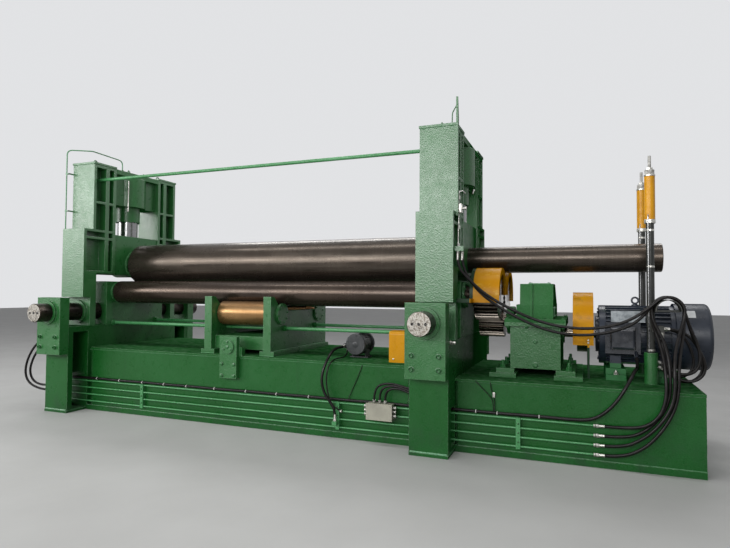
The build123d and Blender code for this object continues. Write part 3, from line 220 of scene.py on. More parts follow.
def enamel(name, colour=GREEN, lighter=GREEN_LIGHT, dirt=GREEN_DIRT, worn=GREEN_WORN_AND_HIGHLIGHT, gloss=(0.24, 0.40),
           hammer=0.7, edge=0.006, dirt_height=0.40, dust=0.22, level=0.5):
    """Gloss enamel: hammered skin, cloudy tone, grime near the floor, dust on top, and edges paled both as
    rubbed paint and as a painted highlight.
    """
    f = Finish(name)
    clouds = f.patches(1.5, 5, 0.38, 0.70, 0.55)
    speckle = f.patches(95, 3, 0.46, 0.62, 0.55)
    pits = f.patches(95, 2, 0.58, 0.68, 0.12)
    streaks = f.patches(9, 6, 0.58, 0.80, 0.30, (1.0, 1.0, 0.10))
    near_floor = f.spread(f.part(f.place, "Z"), 0.0, dirt_height, 0.60, 0.0)
    grime = f.times(near_floor, f.patches(6, 7, 0.40, 0.66))
    settled = f.times(f.spread(f.part(f.normal(), "Z"), 0.75, 0.98), f.patches(14, 5, 0.35, 0.75, dust))
    # Pale colour along nearly every edge: partly rubbed paint, partly a painted highlight on the edges.
    rubbed = f.times(f.edges(edge), f.patches(28, 5, 0.34, 0.58, 0.80))
    chips = f.patches(30, 9, 0.765, 0.775, 0.7)
    f.paint(colour, (clouds, lighter), (speckle, lighter), (pits, dirt), (streaks, dirt), (grime, dirt),
            (settled, worn), (rubbed, worn), (chips, worn))
    f.rough(*gloss, 12, 6, 0.30, 0.72)
    f.matt_at_edges(level)
    f.bump(f.cells(78), hammer, 0.0024, edge)
    return f.material


def forged(name, dark, warm, pale, rough=(0.20, 0.34), metallic=0.8):
    """Turned and oiled steel, browned in patches, with long rolling marks and faint rings."""
    f = Finish(name, metallic=metallic)
    warm_patches = f.patches(1.6, 6, 0.36, 0.68, stretch=(0.5, 1.1, 1.1))
    marks = f.patches(7.0, 6, 0.50, 0.74, 0.30, (0.12, 3.0, 3.0))
    rings = f.patches(5.0, 5, 0.50, 0.74, 0.10, (9, 0.3, 0.3))
    stains = f.patches(3.2, 8, 0.54, 0.72, 0.55, (1.0, 2.2, 2.2))
    f.paint(dark, (warm_patches, warm), (marks, pale), (rings, pale), (stains, dark))
    f.rough(*rough, 4.0, 7, 0.34, 0.68, (0.7, 1.5, 1.5))
    f.bump(f.noise(40, 4, (0.25, 1.6, 1.6)), 0.10, 0.0006, 0.003)
    return f.material


def turned(name, colour, shade, rough=(0.18, 0.34), rings=(260, 1, 260), metallic=1.0):
    """Machined steel with tool marks."""
    f = Finish(name, metallic=metallic)
    marks = f.noise(1.0, 3, rings)
    f.paint(colour, (f.spread(marks, 0.35, 0.65), shade), (f.patches(34, 6, 0.58, 0.74, 0.5), shade))
    f.rough(*rough, 22)
    f.bump(marks, 0.08, 0.0004, 0.0015)
    return f.material


def shift_rod_steel():
    """Oiled dark rod whose sawn end face is bright and spotted with dirt."""
    f = Finish("shift_rod_steel", metallic=0.75)
    dark = f.blend(f.patches(6, 6, 0.40, 0.68), (0.018, 0.014, 0.012), (0.060, 0.045, 0.036))
    spots = f.patches(110, 7, 0.46, 0.62, stretch=(1, 1, 0.7))
    face = f.blend(spots, (0.40, 0.38, 0.34), (0.15, 0.125, 0.10))
    deep = f.add("ShaderNodeMath", {0: f.part(f.normal(), "Y")}, operation="ABSOLUTE").outputs[0]
    f.paint(dark, (f.spread(deep, 0.90, 0.95), face))
    f.rough(0.24, 0.44, 20)
    f.bump(f.noise(120, 4), 0.15, 0.0005, 0.002)
    return f.material


def tail_cylinder_paint():
    """Dark column, orange barrel and bright stem, told apart by height."""
    f = Finish("tail_cylinder_paint")
    dark = f.blend(f.patches(5, 6, 0.40, 0.70), (0.022, 0.024, 0.022), (0.055, 0.056, 0.050))
    orange = f.blend(f.patches(9, 6, 0.45, 0.75, 0.6), (0.66, 0.31, 0.008), (0.46, 0.19, 0.005))
    stem = f.blend(f.patches(30, 4, 0.40, 0.65), (0.50, 0.49, 0.46), (0.24, 0.23, 0.21))
    f.paint(dark, (f.above(BARREL_LOW), orange), (f.above(BARREL_HIGH), stem))
    f.rough(0.24, 0.40, 18)
    f.matt_at_edges(0.3)
    f.bump(f.noise(150, 3), 0.10, 0.0005, 0.002)
    return f.material


def hood_paint(colour, lighter, worn, arm):
    """Yellow hood whose hidden arm, left of a line, is green."""
    f = Finish("hood_enamel")
    tone = f.blend(f.patches(4, 6, 0.42, 0.72, 0.8), colour, lighter)
    scuffed = f.blend(f.patches(9, 8, 0.60, 0.70, 0.6, (1.0, 0.5, 2.0)), tone, worn)
    f.paint(arm, (f.above(HOOD_ARM_END, "X"), scuffed))
    f.rough(0.24, 0.46, 14, 6, 0.30, 0.70)
    f.matt_at_edges(0.18)
    f.bump(f.cells(120), 0.2, 0.0010, 0.003)
    return f.material


def terminal_box_paint():
    """Glossy dark lid box below a line and a rough grey box above it."""
    f = Finish("terminal_box_paint", coat=0.5, coat_roughness=0.12)
    low = f.blend(f.patches(8, 6, 0.42, 0.70), (0.014, 0.017, 0.024), (0.034, 0.038, 0.048))
    high = f.blend(f.patches(26, 7, 0.40, 0.66), (0.33, 0.36, 0.38), (0.15, 0.17, 0.185))
    above = f.above(UPPER_BOX_BOTTOM)
    f.paint(low, (above, high))
    f.rough(0.12, 0.26, 20, more=f.times(above, 0.35))
    f.bump(f.noise(140, 3), 0.14, 0.0006, 0.002)
    return f.material


def two_height_enamel(name, split, low, colour, lighter, level=0.4):
    """Enamel of one colour below a line and another above it."""
    f = Finish(name)
    high = f.blend(f.patches(5, 6, 0.40, 0.70, 0.8), colour, lighter)
    grime = f.patches(9, 7, 0.56, 0.74, 0.5)
    rubbed = f.times(f.edges(0.003), f.patches(28, 5, 0.46, 0.68, 0.5))
    f.paint(low, (f.above(split), high), (grime, GREEN_DIRT), (rubbed, (0.20, 0.22, 0.18)))
    f.rough(0.24, 0.42, 12, 6, 0.30, 0.72)
    f.matt_at_edges(level)
    f.bump(f.cells(110), 0.2, 0.0012, 0.003)
    return f.material


def rubber(name, colour, dusty):
    """Black hose cover: fine wrapped texture, a little dust on top."""
    f = Finish(name)
    dust = f.spread(f.part(f.normal(), "Z"), 0.5, 1.0, 0.0, 0.18)
    f.paint(colour, (f.patches(17, 5, 0.42, 0.72), dusty), (dust, dusty))
    f.rough(0.28, 0.46, 30, 4)
    f.matt_at_edges(0.22, 0.3, 0.8)
    f.bump(f.noise(420, 2), 0.18, 0.0005)
    return f.material


def moulded(name, colour, shade, rough=(0.30, 0.45), grain=300):
    """Moulded or powder-coated box: fine grain and handling marks."""
    f = Finish(name)
    f.paint(colour, (f.patches(8, 6, 0.42, 0.70, 0.6), shade), (f.times(f.edges(0.003), 0.4), shade))
    f.rough(*rough, 20)
    f.matt_at_edges(0.45)
    f.bump(f.noise(grain, 2), 0.12, 0.0005, 0.002)
    return f.material


green = enamel("green_enamel", level=0.55)
green_posts = enamel("green_enamel_posts", gloss=(0.28, 0.42), hammer=0.9, level=0.95)
# A darker copy of the same green enamel for the base and lower frames: the darker colour is painted shade.
green_base_painted_shade = enamel("green_enamel_base_painted_shade", (0.005, 0.071, 0.009), (0.016, 0.110, 0.026), hammer=0.3,
                    level=0.25)
green_matt = enamel("green_enamel_matt", gloss=(0.45, 0.60), level=0.2)
green_parts = enamel("green_enamel_small_parts", GREEN, (0.035, 0.160, 0.055), worn=(0.090, 0.230, 0.110),
                     edge=0.001, dust=0.05)
green_fresh = enamel("green_enamel_pale", GREEN_LIGHT, (0.17, 0.40, 0.24), GREEN, (0.42, 0.55, 0.42))
# A lighter copy of the same green enamel for the pipes and stay rods: the lighter colour is a painted
# highlight.
green_pipes_painted_highlight = enamel("green_enamel_pipes_painted_highlight", (0.022, 0.165, 0.040), (0.110, 0.340, 0.150),
                     worn=(0.300, 0.480, 0.320), hammer=0.1, edge=0.0, dirt_height=0.05)
green_welds = enamel("green_weld", (0.040, 0.165, 0.058), (0.090, 0.250, 0.120), worn=(0.300, 0.420, 0.300),
                     edge=0.002)
yellow = enamel("yellow_enamel", YELLOW, YELLOW_LIGHT, (0.16, 0.07, 0.01), YELLOW_WORN, hammer=0.2,
                edge=0.003, dirt_height=0.1, dust=0.04, level=0.2)
hood_yellow = hood_paint(YELLOW, YELLOW_LIGHT, YELLOW_WORN, GREEN_DIRT)
blue = enamel("blue_enamel", BLUE, BLUE_LIGHT, (0.006, 0.007, 0.010), (0.10, 0.11, 0.13), hammer=0.12,
              dirt_height=0.1, dust=0.12)
motor_paint = two_height_enamel("motor_enamel", MOTOR_FOOT_TOP, (0.020, 0.130, 0.036), BLUE, BLUE_LIGHT)
guard_paint = two_height_enamel("guard_enamel", GUARD_LEG_TOP, GREEN_DIRT, YELLOW, YELLOW_LIGHT, level=0.15)
roll_steel = forged("roll_steel", (0.044, 0.035, 0.028), (0.076, 0.060, 0.047), (0.17, 0.15, 0.125))
lower_roll_steel = forged("lower_roll_steel", (0.040, 0.029, 0.023), (0.080, 0.059, 0.045),
                          (0.17, 0.14, 0.115))
gear_steel = forged("gear_steel", (0.10, 0.088, 0.075), (0.26, 0.225, 0.19), (0.52, 0.47, 0.40),
                    rough=(0.14, 0.26), metallic=1.0)
bronze = forged("bronze", (0.16, 0.080, 0.028), (0.38, 0.225, 0.095), (0.58, 0.42, 0.24),
                rough=(0.24, 0.40))
bright_steel = turned("bright_steel", (0.66, 0.64, 0.61), (0.38, 0.36, 0.34))
chrome = turned("chrome", (0.34, 0.34, 0.34), (0.16, 0.16, 0.16), rough=(0.16, 0.28))
zinc = turned("zinc", (0.60, 0.59, 0.55), (0.36, 0.35, 0.32), rough=(0.28, 0.42), rings=(90, 90, 90))
dark_steel = turned("dark_steel", (0.060, 0.060, 0.062), (0.026, 0.026, 0.027), rough=(0.30, 0.50),
                    metallic=0.7)
shift_steel = shift_rod_steel()
tail_paint = tail_cylinder_paint()
terminal_paint = terminal_box_paint()
hose_rubber = rubber("hose_rubber", (0.0036, 0.0030, 0.0029), (0.0110, 0.0092, 0.0086))
grey_box = moulded("grey_box", (0.32, 0.31, 0.25), (0.20, 0.19, 0.16))
fan_grey = moulded("fan_grey", (0.022, 0.025, 0.027), (0.060, 0.064, 0.066), rough=(0.30, 0.46))
fan_blue = moulded("fan_blue", (0.009, 0.014, 0.024), (0.020, 0.026, 0.038), rough=(0.26, 0.40))
tie_plastic = moulded("tie_plastic", (0.62, 0.62, 0.58), (0.40, 0.40, 0.38))
pale_plate = moulded("pale_plate", (0.60, 0.62, 0.62), (0.42, 0.43, 0.44), rough=(0.35, 0.5))

FINISH_OF_SLOT = {
    "green_paint": green,
    "yellow_paint": yellow,
    "blue_paint": blue,
    "roll_steel": roll_steel,
    "gear_steel": gear_steel,
    "machined_steel": bright_steel,
    "chrome_rod": chrome,
    "bronze": bronze,
    "dark_steel": dark_steel,
    "cable_rubber": hose_rubber,
    "grey_plastic": grey_box,
}
NODES_OF_FINISH = (
    (lower_roll_steel, ("front_lower_roll", "rear_lower_roll")),
    (tail_paint, ("front_tail_cylinder", "rear_tail_cylinder")),
    (shift_steel, ("left_shift_rods", "right_shift_rods")),
    (hood_yellow, ("front_gear_hood", "rear_gear_hood")),
    (green_matt, ("gearbox_cover",)),
    (green_base_painted_shade, ("base_roll_section", "base_drive_section", "left_lower_frame", "right_lower_frame")),
    (green_posts, ("left_front_post", "right_front_post", "left_rear_post", "right_rear_post")),
    (green_pipes_painted_highlight, ("roll_base_pipes", "drive_base_pipes", "top_tie_pipe", "stay_rods")),
    (motor_paint, ("motor_frame",)),
    (fan_blue, ("motor_fan_cover",)),
    (terminal_paint, ("motor_terminal_box",)),
    (guard_paint, ("coupling_guard",)),
    (fan_grey, ("pump_motor",)),
)


def dress_nodes():
    own_finish = {name: finish for finish, names in NODES_OF_FINISH for name in names}
    for name, node in frame["nodes"].items():
        node.data.materials.clear()
        node.data.materials.append(own_finish.get(name, FINISH_OF_SLOT[SLOT_OF[name]]))


dress_nodes()


# Small pieces: each kit joins many of them in one mesh
SHARP = math.radians(35)
HEX = "hex"


def across(axis):
    """Two directions square to an axis."""
    axis = Vector(axis).normalized()
    helper = Vector(UP) if abs(axis.z) < 0.9 else Vector(ALONG)
    first = helper.cross(axis).normalized()
    return first, axis.cross(first)


def spokes(directions, count, start=0.0):
    """Angles round an axis with the direction of each, from two directions square to it."""
    first, second = directions
    for i in range(count):
        angle = start + math.tau * i / count
        yield angle, first * math.cos(angle) + second * math.sin(angle)


def hexagon(angle, flat):
    """The radius of a hexagon at an angle, from its half width across flats."""
    return flat / math.cos((angle % (math.pi / 3)) - math.pi / 6)


class Kit:
    """Pieces of one finish that ride on one body, gathered in one mesh."""

    def __init__(self, name, finish=green_parts, slot_name="green_paint", body=FRAME_BODY):
        self.name = name
        self.finish = finish
        self.slot_name = slot_name
        self.body = body
        self.bm = bmesh.new()

    def rings(self, rows, closed=False):
        """Skin rows of as many points each, with a cap at both ends."""
        made = [[self.bm.verts.new(point) for point in row] for row in rows]
        count = len(made[0])
        pairs = list(zip(made, made[1:]))
        if closed:
            pairs.append((made[-1], made[0]))
        for row, after in pairs:
            for i in range(count):
                j = (i + 1) % count
                self.bm.faces.new((row[i], row[j], after[j], after[i]))
        if not closed:
            self.bm.faces.new(list(reversed(made[0])))
            self.bm.faces.new(made[-1])

    def lathe(self, place, axis, stations, sides=24):
        """A turned piece from (height, radius) or (height, radius, HEX) stations."""
        place, axis = Vector(place), Vector(axis).normalized()
        rows = []
        for height, radius, *shape in stations:
            rows.append([place + axis * height + out * (hexagon(angle, radius) if shape else radius)
                         for angle, out in spokes(across(axis), sides)])
        self.rings(rows)

    def sweep(self, points, radius, bend=0.0, sides=12):
        """A pipe along straight runs, with its corners rounded to a bend radius."""
        line = rounded_line([Vector(p) for p in points], bend)
        rows = []
        first = across(line[1] - line[0])[0]
        for i, point in enumerate(line):
            ahead = (line[min(i + 1, len(line) - 1)] - line[max(i - 1, 0)]).normalized()
            first = (first - ahead * first.dot(ahead)).normalized()
            rows.append([point + out * radius for _, out in spokes((first, ahead.cross(first)), sides)])
        self.rings(rows)

    def slab(self, low, high, edge=0.002):
        """A small block with bevelled edges."""
        low, high = Vector(low), Vector(high)
        found = bmesh.ops.create_cube(self.bm, size=1.0)["verts"]
        for vertex in found:
            for k in range(3):
                vertex.co[k] = (low[k] + high[k]) / 2 + vertex.co[k] * (high[k] - low[k])
        edges = list({e for vertex in found for e in vertex.link_edges})
        bmesh.ops.bevel(self.bm, geom=edges, offset=edge, segments=2, profile=0.7, affect="EDGES")

    def bead(self, start, end, radius=0.006, ripple=0.011):
        """A weld bead with its ripples."""
        start, end = Vector(start), Vector(end)
        axis = end - start
        count = max(4, int(axis.length / ripple))
        stations = []
        for i in range(count + 1):
            swell = 1.0 + 0.16 * random.uniform(-1, 1) + (0.12 if i % 2 else -0.12)
            stations.append((axis.length * i / count, radius * swell))
        self.lathe(start, axis, stations, 6)

    def ring(self, place, axis, radius, wire, sides=24, around=8):
        """A round ring of wire."""
        place, axis = Vector(place), Vector(axis).normalized()
        rows = []
        for _, out in spokes(across(axis), sides):
            rows.append([place + out * radius + turn * wire for _, turn in spokes((out, axis), around)])
        self.rings(rows, closed=True)

    def done(self):
        bmesh.ops.recalc_face_normals(self.bm, faces=self.bm.faces)
        mesh = bpy.data.meshes.new(self.name)
        self.bm.to_mesh(mesh)
        self.bm.free()
        mesh.polygons.foreach_set("use_smooth", [True] * len(mesh.polygons))
        mesh.set_sharp_from_angle(angle=SHARP)
        mesh.materials.append(self.finish)
        piece = bpy.data.objects.new(self.name, mesh)
        bpy.context.scene.collection.objects.link(piece)
        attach(piece, self.body)


def rounded_line(points, bend, steps=6):
    """The points of a line with its corners rounded."""
    if not bend or len(points) < 3:
        return points
    line = [points[0]]
    for before, here, after in zip(points, points[1:], points[2:]):
        back, ahead = (before - here).normalized(), (after - here).normalized()
        reach = bend * math.tan((math.pi - back.angle(ahead)) / 2)
        reach = min(reach, (before - here).length * 0.48, (after - here).length * 0.48)
        a, b = here + back * reach, here + ahead * reach
        for i in range(steps + 1):
            t = i / steps
            line.append(a * (1 - t) ** 2 + here * 2 * t * (1 - t) + b * t ** 2)
    line.append(points[-1])
    return line


def hex_bolt(kit, place, axis, size, washer=True):
    """A hexagon head on its washer."""
    flat, head = size * 0.75, size * 0.65
    seat = size * 0.16 if washer else 0.0
    if washer:
        kit.lathe(place, axis, [(0, size), (seat * 0.8, size), (seat, size * 0.95)], 20)
    kit.lathe(place, axis, [(seat * 0.6, flat, HEX), (seat + head * 0.86, flat, HEX),
                            (seat + head, flat * 0.90)])


def socket_screw(kit, place, axis, size):
    """A round head with its hexagon recess."""
    r = size * 0.75
    kit.lathe(place, axis, [(0, r), (size * 0.92, r), (size, r * 0.92), (size, size * 0.50, HEX),
                            (size * 0.45, size * 0.46, HEX), (size * 0.40, size * 0.10)])


def stud_nut(kit, place, axis, size, proud):
    """A nut on its washer, with the stud's thread standing proud."""
    flat = size * 0.75
    kit.lathe(place, axis, [(0, size * 1.05), (size * 0.14, size * 1.05), (size * 0.16, size)], 20)
    kit.lathe(place, axis, [(size * 0.12, flat, HEX), (size * 0.88, flat, HEX), (size * 0.96, flat * 0.9)])
    count = max(3, int(proud / (size * 0.14)))
    thread = [(size * 0.9 + proud * i / count, size * (0.5 if i % 2 else 0.44)) for i in range(count)]
    thread.append((size * 0.9 + proud, size * 0.40))
    kit.lathe(place, axis, thread, 14)


def circle_of(count, radius, place, axis, start=0.0):
    """Places on a bolt circle."""
    for _, out in spokes(across(axis), count, start):
        yield Vector(place) + out * radius


def corners(node):
    """The lowest and the highest corner of a node at rest."""
    return [Vector(corner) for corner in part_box(node)]


def middle(node):
    low, high = corners(node)
    return (low + high) / 2


FRAME_LOW, FRAME_HIGH = corners("right_lower_frame")
STAND_X = middle("right_crosshead").x
STAND_TOP = corners("right_crosshead")[1].z
STAND_HALF = corners("right_crosshead")[1].x - STAND_X
PIPE_Y = -0.848
PIPE_ROWS = (0.118, 0.203, 0.288, 0.373)


# Hoses and the cable along the base
HOSE_WIDTH = 0.028
CABLE_WIDTH = 0.030


def cord(name, points, width=HOSE_WIDTH, in_source=True):
    """A hose or cable on its route, as one smooth curve."""
    data = bpy.data.curves.new(name + "_line", "CURVE")
    data.dimensions = "3D"
    data.resolution_u = 10
    data.bevel_depth = width / 2
    data.bevel_resolution = 4
    data.use_fill_caps = True
    spline = data.splines.new("NURBS")
    spline.points.add(len(points) - 1)
    for place, point in zip(spline.points, points):
        place.co = (*point, 1.0)
    spline.order_u = 3
    spline.use_endpoint_u = True
    data.materials.append(hose_rubber)
    piece = bpy.data.objects.new(name + "_line", data)
    bpy.context.scene.collection.objects.link(piece)
    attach(piece, FRAME_BODY)
    if in_source:
        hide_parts(name)


cord("left_hose_outer", [
    (-2.6475, -0.980, 0.930), (-2.790, -0.980, 0.930), (-2.962, -1.000, 0.817), (-3.095, -1.005, 0.630),
    (-3.150, -1.000, 0.440), (-3.105, -0.975, 0.300), (-2.970, -0.925, 0.225), (-2.810, -0.848, 0.203),
    (-2.6575, -0.848, 0.203),
])
cord("left_hose_inner", [
    (-2.6475, -0.930, 0.870), (-2.780, -0.930, 0.870), (-2.945, -0.950, 0.780), (-3.075, -0.953, 0.610),
    (-3.135, -0.945, 0.440), (-3.085, -0.920, 0.310), (-2.950, -0.885, 0.265), (-2.800, -0.848, 0.288),
    (-2.6575, -0.848, 0.288),
])
cord("post_hose_front", [
    (2.640, -0.840, 1.930), (2.640, -0.840, 1.800), (2.735, -0.800, 1.680), (2.916, -0.745, 1.508),
    (3.223, -0.715, 1.342), (3.476, -0.705, 1.250), (3.721, -0.705, 1.216), (3.959, -0.705, 1.230),
    (4.180, -0.700, 1.305), (4.356, -0.700, 1.4434), (4.4286, -0.700, 1.516), (4.5314, -0.700, 1.516),
    (4.604, -0.700, 1.4434), (4.604, -0.700, 1.340), (4.552, -0.750, 1.190), (4.508, -0.830, 1.040),
    (4.494, -0.895, 0.890), (4.496, -0.905, 0.740), (4.474, -0.910, 0.600), (4.390, -0.910, 0.447),
    (4.265, -0.890, 0.308), (4.100, -0.848, 0.203), (3.930, -0.848, 0.203),
])
cord("post_hose_rear", [
    (2.676, -0.800, 1.930), (2.676, -0.800, 1.800), (2.788, -0.740, 1.595), (2.959, -0.690, 1.440),
    (3.198, -0.670, 1.299), (3.469, -0.665, 1.185), (3.740, -0.665, 1.148), (4.001, -0.665, 1.183),
    (4.225, -0.665, 1.275), (4.356, -0.665, 1.4434), (4.4286, -0.665, 1.516), (4.5314, -0.665, 1.516),
    (4.604, -0.665, 1.4434), (4.604, -0.665, 1.340), (4.590, -0.715, 1.190), (4.552, -0.795, 1.040),
    (4.530, -0.865, 0.890), (4.528, -0.878, 0.740), (4.500, -0.885, 0.580), (4.410, -0.900, 0.400),
    (4.270, -0.890, 0.225), (4.090, -0.848, 0.118), (3.930, -0.848, 0.118),
])
cord("tail_hose_front", [
    (3.930, -0.848, 0.373), (4.110, -0.848, 0.373), (4.275, -0.890, 0.405), (4.385, -0.908, 0.510),
    (4.430, -0.908, 0.660), (4.432, -0.895, 0.820), (4.424, -0.835, 0.980), (4.400, -0.740, 1.130),
    (4.368, -0.640, 1.240), (4.356, -0.590, 1.335), (4.356, -0.590, 1.4434), (4.4286, -0.590, 1.516),
    (4.5314, -0.590, 1.516), (4.604, -0.590, 1.4434), (4.640, -0.560, 1.330), (4.700, -0.520, 1.130),
    (4.789, -0.490, 0.950), (4.789, -0.490, 0.838), (4.710, -0.490, 0.760), (4.599, -0.480, 0.760),
    (4.521, -0.470, 0.838), (4.520, -0.445, 0.950), (4.460, -0.385, 1.065), (4.460, -0.385, 1.170),
])
cord("tail_hose_rear", [
    (3.930, -0.848, 0.288), (4.100, -0.848, 0.288), (4.255, -0.862, 0.345), (4.400, -0.878, 0.505),
    (4.462, -0.878, 0.670), (4.465, -0.872, 0.830), (4.462, -0.850, 0.960), (4.440, -0.785, 1.110),
    (4.395, -0.690, 1.230), (4.356, -0.625, 1.335), (4.356, -0.625, 1.4434), (4.4286, -0.625, 1.516),
    (4.5314, -0.625, 1.516), (4.604, -0.625, 1.4434), (4.625, -0.600, 1.350), (4.680, -0.570, 1.200),
    (4.739, -0.560, 1.050), (4.739, -0.560, 0.903), (4.661, -0.548, 0.825), (4.549, -0.515, 0.825),
    (4.471, -0.485, 0.903), (4.469, -0.458, 1.005), (4.460, -0.435, 1.080), (4.460, -0.435, 1.170),
])
cord("pump_hose", [
    (1.275, -0.470, 0.930), (1.275, -0.600, 0.930), (1.274, -0.750, 0.925), (1.262, -0.868, 0.850),
    (1.225, -0.925, 0.715), (1.215, -0.935, 0.590), (1.245, -0.925, 0.475), (1.310, -0.912, 0.385),
    (1.360, -0.900, 0.300), (1.360, -0.900, 0.210),
])
cord("cable_bundle", [
    (-2.450, -0.8393, 0.405), (-2.030, -0.8393, 0.410), (-1.656, -0.8393, 0.405), (-1.285, -0.8393, 0.410),
    (-0.950, -0.8393, 0.405), (-0.613, -0.8393, 0.410), (-0.210, -0.8393, 0.405), (0.220, -0.8393, 0.410),
    (0.620, -0.8393, 0.405), (1.020, -0.8393, 0.410), (1.420, -0.8393, 0.405), (1.820, -0.8393, 0.410),
    (2.220, -0.8393, 0.405), (2.620, -0.8393, 0.410), (3.020, -0.8393, 0.405), (3.400, -0.8393, 0.410),
    (3.680, -0.8393, 0.405), (3.850, -0.850, 0.420), (3.965, -0.868, 0.500), (4.060, -0.875, 0.612),
    (4.135, -0.862, 0.745), (4.185, -0.790, 0.830), (4.215, -0.680, 0.862), (4.250, -0.521, 0.865),
    (4.250, -0.400, 0.935),
], CABLE_WIDTH)


# Further hoses and wires, which only this script makes
LOOP_WIDTH = 0.024
PUMP_RETURN_WIDTH = 0.014
CONDUIT_WIDTH = 0.022
WIRE_WIDTH = 0.008
CONDUITS = ((1.800, 0.548), (1.860, 0.475), (1.920, 0.404))
CONDUIT_Y = -0.909
CONDUIT_LOW = 0.540
CONDUIT_RISE = 0.020
CONDUIT_STEP = 0.012

cord("tail_loop_front", [
    (4.475, -0.430, 1.220), (4.555, -0.430, 1.220), (4.640, -0.431, 1.192), (4.712, -0.433, 1.122),
    (4.762, -0.437, 1.026), (4.786, -0.440, 0.918), (4.766, -0.440, 0.818), (4.696, -0.437, 0.752),
    (4.600, -0.430, 0.748), (4.532, -0.415, 0.800), (4.484, -0.398, 0.862), (4.428, -0.385, 0.915),
], LOOP_WIDTH, in_source=False)
cord("tail_loop_rear", [
    (4.475, -0.392, 1.215), (4.545, -0.390, 1.213), (4.615, -0.387, 1.182), (4.668, -0.384, 1.112),
    (4.706, -0.382, 1.018), (4.724, -0.380, 0.920), (4.700, -0.378, 0.830), (4.628, -0.378, 0.780),
    (4.545, -0.379, 0.786), (4.484, -0.382, 0.826), (4.428, -0.385, 0.866),
], LOOP_WIDTH, in_source=False)
cord("pump_return_hose", [
    (1.290, -0.420, 0.905), (1.290, -0.421, 0.878), (1.291, -0.438, 0.850), (1.293, -0.470, 0.829),
    (1.297, -0.520, 0.818), (1.300, -0.590, 0.817), (1.302, -0.680, 0.820), (1.302, -0.775, 0.823),
    (1.298, -0.860, 0.806), (1.288, -0.915, 0.762), (1.278, -0.936, 0.695), (1.272, -0.938, 0.610),
    (1.284, -0.935, 0.510), (1.306, -0.930, 0.425), (1.340, -0.918, 0.360), (1.380, -0.895, 0.315),
    (1.415, -0.866, 0.292),
], PUMP_RETURN_WIDTH, in_source=False)
for number, (start, length) in enumerate(CONDUITS):
    lift, y = CONDUIT_RISE * (2 - number), CONDUIT_Y - CONDUIT_STEP * number
    run = FRAME_LOW.x - start
    cord(f"junction_conduit_{number + 1}", [
        (start, CONDUIT_Y, 0.440), (start, CONDUIT_Y, 0.490),
        (start + 0.07 * run, (CONDUIT_Y + y) / 2, 0.545 + lift), (start + 0.24 * run, y, 0.578 + lift),
        (start + 0.45 * run, y, 0.584 + lift), (start + 0.66 * run, y, 0.568 + lift),
        (start + 0.84 * run, y, 0.548 + lift), (start + run, y, CONDUIT_LOW + lift),
    ], CONDUIT_WIDTH, in_source=False)
cord("tail_wire", [
    (2.811, -0.826, 0.700), (2.835, -0.832, 0.672), (2.890, -0.834, 0.620), (2.940, -0.834, 0.572),
    (2.975, -0.836, 0.530), (2.985, -0.842, 0.470), (2.985, -0.848, 0.425),
], WIRE_WIDTH, in_source=False)
cord("tail_wire_right", [
    (2.953, -0.826, 0.700), (2.957, -0.832, 0.665), (2.968, -0.834, 0.610), (2.985, -0.834, 0.560),
    (2.997, -0.836, 0.515), (2.998, -0.842, 0.465), (2.998, -0.848, 0.425),
], WIRE_WIDTH, in_source=False)
cord("roller_wire", [
    (1.637, -0.826, 0.790), (1.628, -0.832, 0.750), (1.600, -0.834, 0.680), (1.560, -0.834, 0.590),
    (1.520, -0.836, 0.500), (1.498, -0.842, 0.450), (1.490, -0.848, 0.420),
], WIRE_WIDTH, in_source=False)


# Sizes that the small pieces share with the model
BASE_WEB = 0.818
SOLE_HEIGHT = 0.060
FLANGE = 0.024
APRON = 0.006
FOOT_WELD_END = 0.840
CAP_WELD_END = 0.410
FOOT_PLATE = 0.030
FOOT_LIP = 0.008
POST_STEP_Z = STAND_TOP - 0.875
POST_UPPER_FRONT = 0.775
NECK_FRONT = 0.800
KEEPER_RING = 0.028
ADJUSTER_DISC = 0.020
SUPPORT_COVER_X = 0.485
SUPPORT_PLATE_X = 0.410
SUPPORT_FOOT = 0.050
STAY_R = 0.021
DRIVE_PIPE_END = 3.880
LEFT_PIPE_END = -2.6075
LEFT_PORTS = ((-0.980, 0.930), (-0.930, 0.870))
POST_PORTS = ((2.640, -0.840), (2.676, -0.800))
POST_PORT_Z = 1.952
TAIL_PORT_X = 4.460
TAIL_PORT_ROWS = (-0.385, -0.435)
TAIL_PORT_Z = 1.192
TAIL_LOOP_STARTS = ((4.473, -0.430, 1.220), (4.473, -0.392, 1.215))
TAIL_LOOP_ENDS = (((4.426, -0.385, 0.915), -0.75), ((4.426, -0.385, 0.866), -0.55))
PUMP_PORT = (1.275, -0.443, 0.930)
PUMP_MANIFOLD = (1.360, -0.900, 0.188)
RETURN_HIGH_PORT = (1.290, -0.420, 0.906)
RETURN_LOW_PORT = (1.420, -0.860, 0.288)
WIRE_CLIP = ((2.978, -0.8415, 0.552), (3.000, -0.8370, 0.600))
TIE_PLACES = (-2.03, -1.656, -1.285, -0.950, -0.613, -0.210, 0.220, 0.620, 1.020, 2.820, 3.020, 3.400)
TIE_Y = -0.8393
TIE_Z = 0.4072
PIPE_CLAMPS = (-1.278, 1.370, 3.213)
PIPE_CLAMP_FACE = -0.865
GEARBOX_LEFT = 3.095
GEARBOX_RIGHT = 3.575
GEARBOX_HALF = 0.450
GEARBOX_FLANGE = 0.037
GEARBOX_FOOT_TOP = 0.790
GEARBOX_OUTER_STUDS = (3.020, 3.650)
GEARBOX_STUD_ROWS = (-0.44, -0.15, 0.15, 0.44)
GEARBOX_PLUG_X = 3.338
GEARBOX_PLUGS = ((1.062, 0.016), (0.831, 0.020))
GEARBOX_SEAL = 0.075
GEARBOX_SEAL_CIRCLE = 0.125
MOTOR_AXIS_Z = 1.130
MOTOR_SHIELD = 0.030
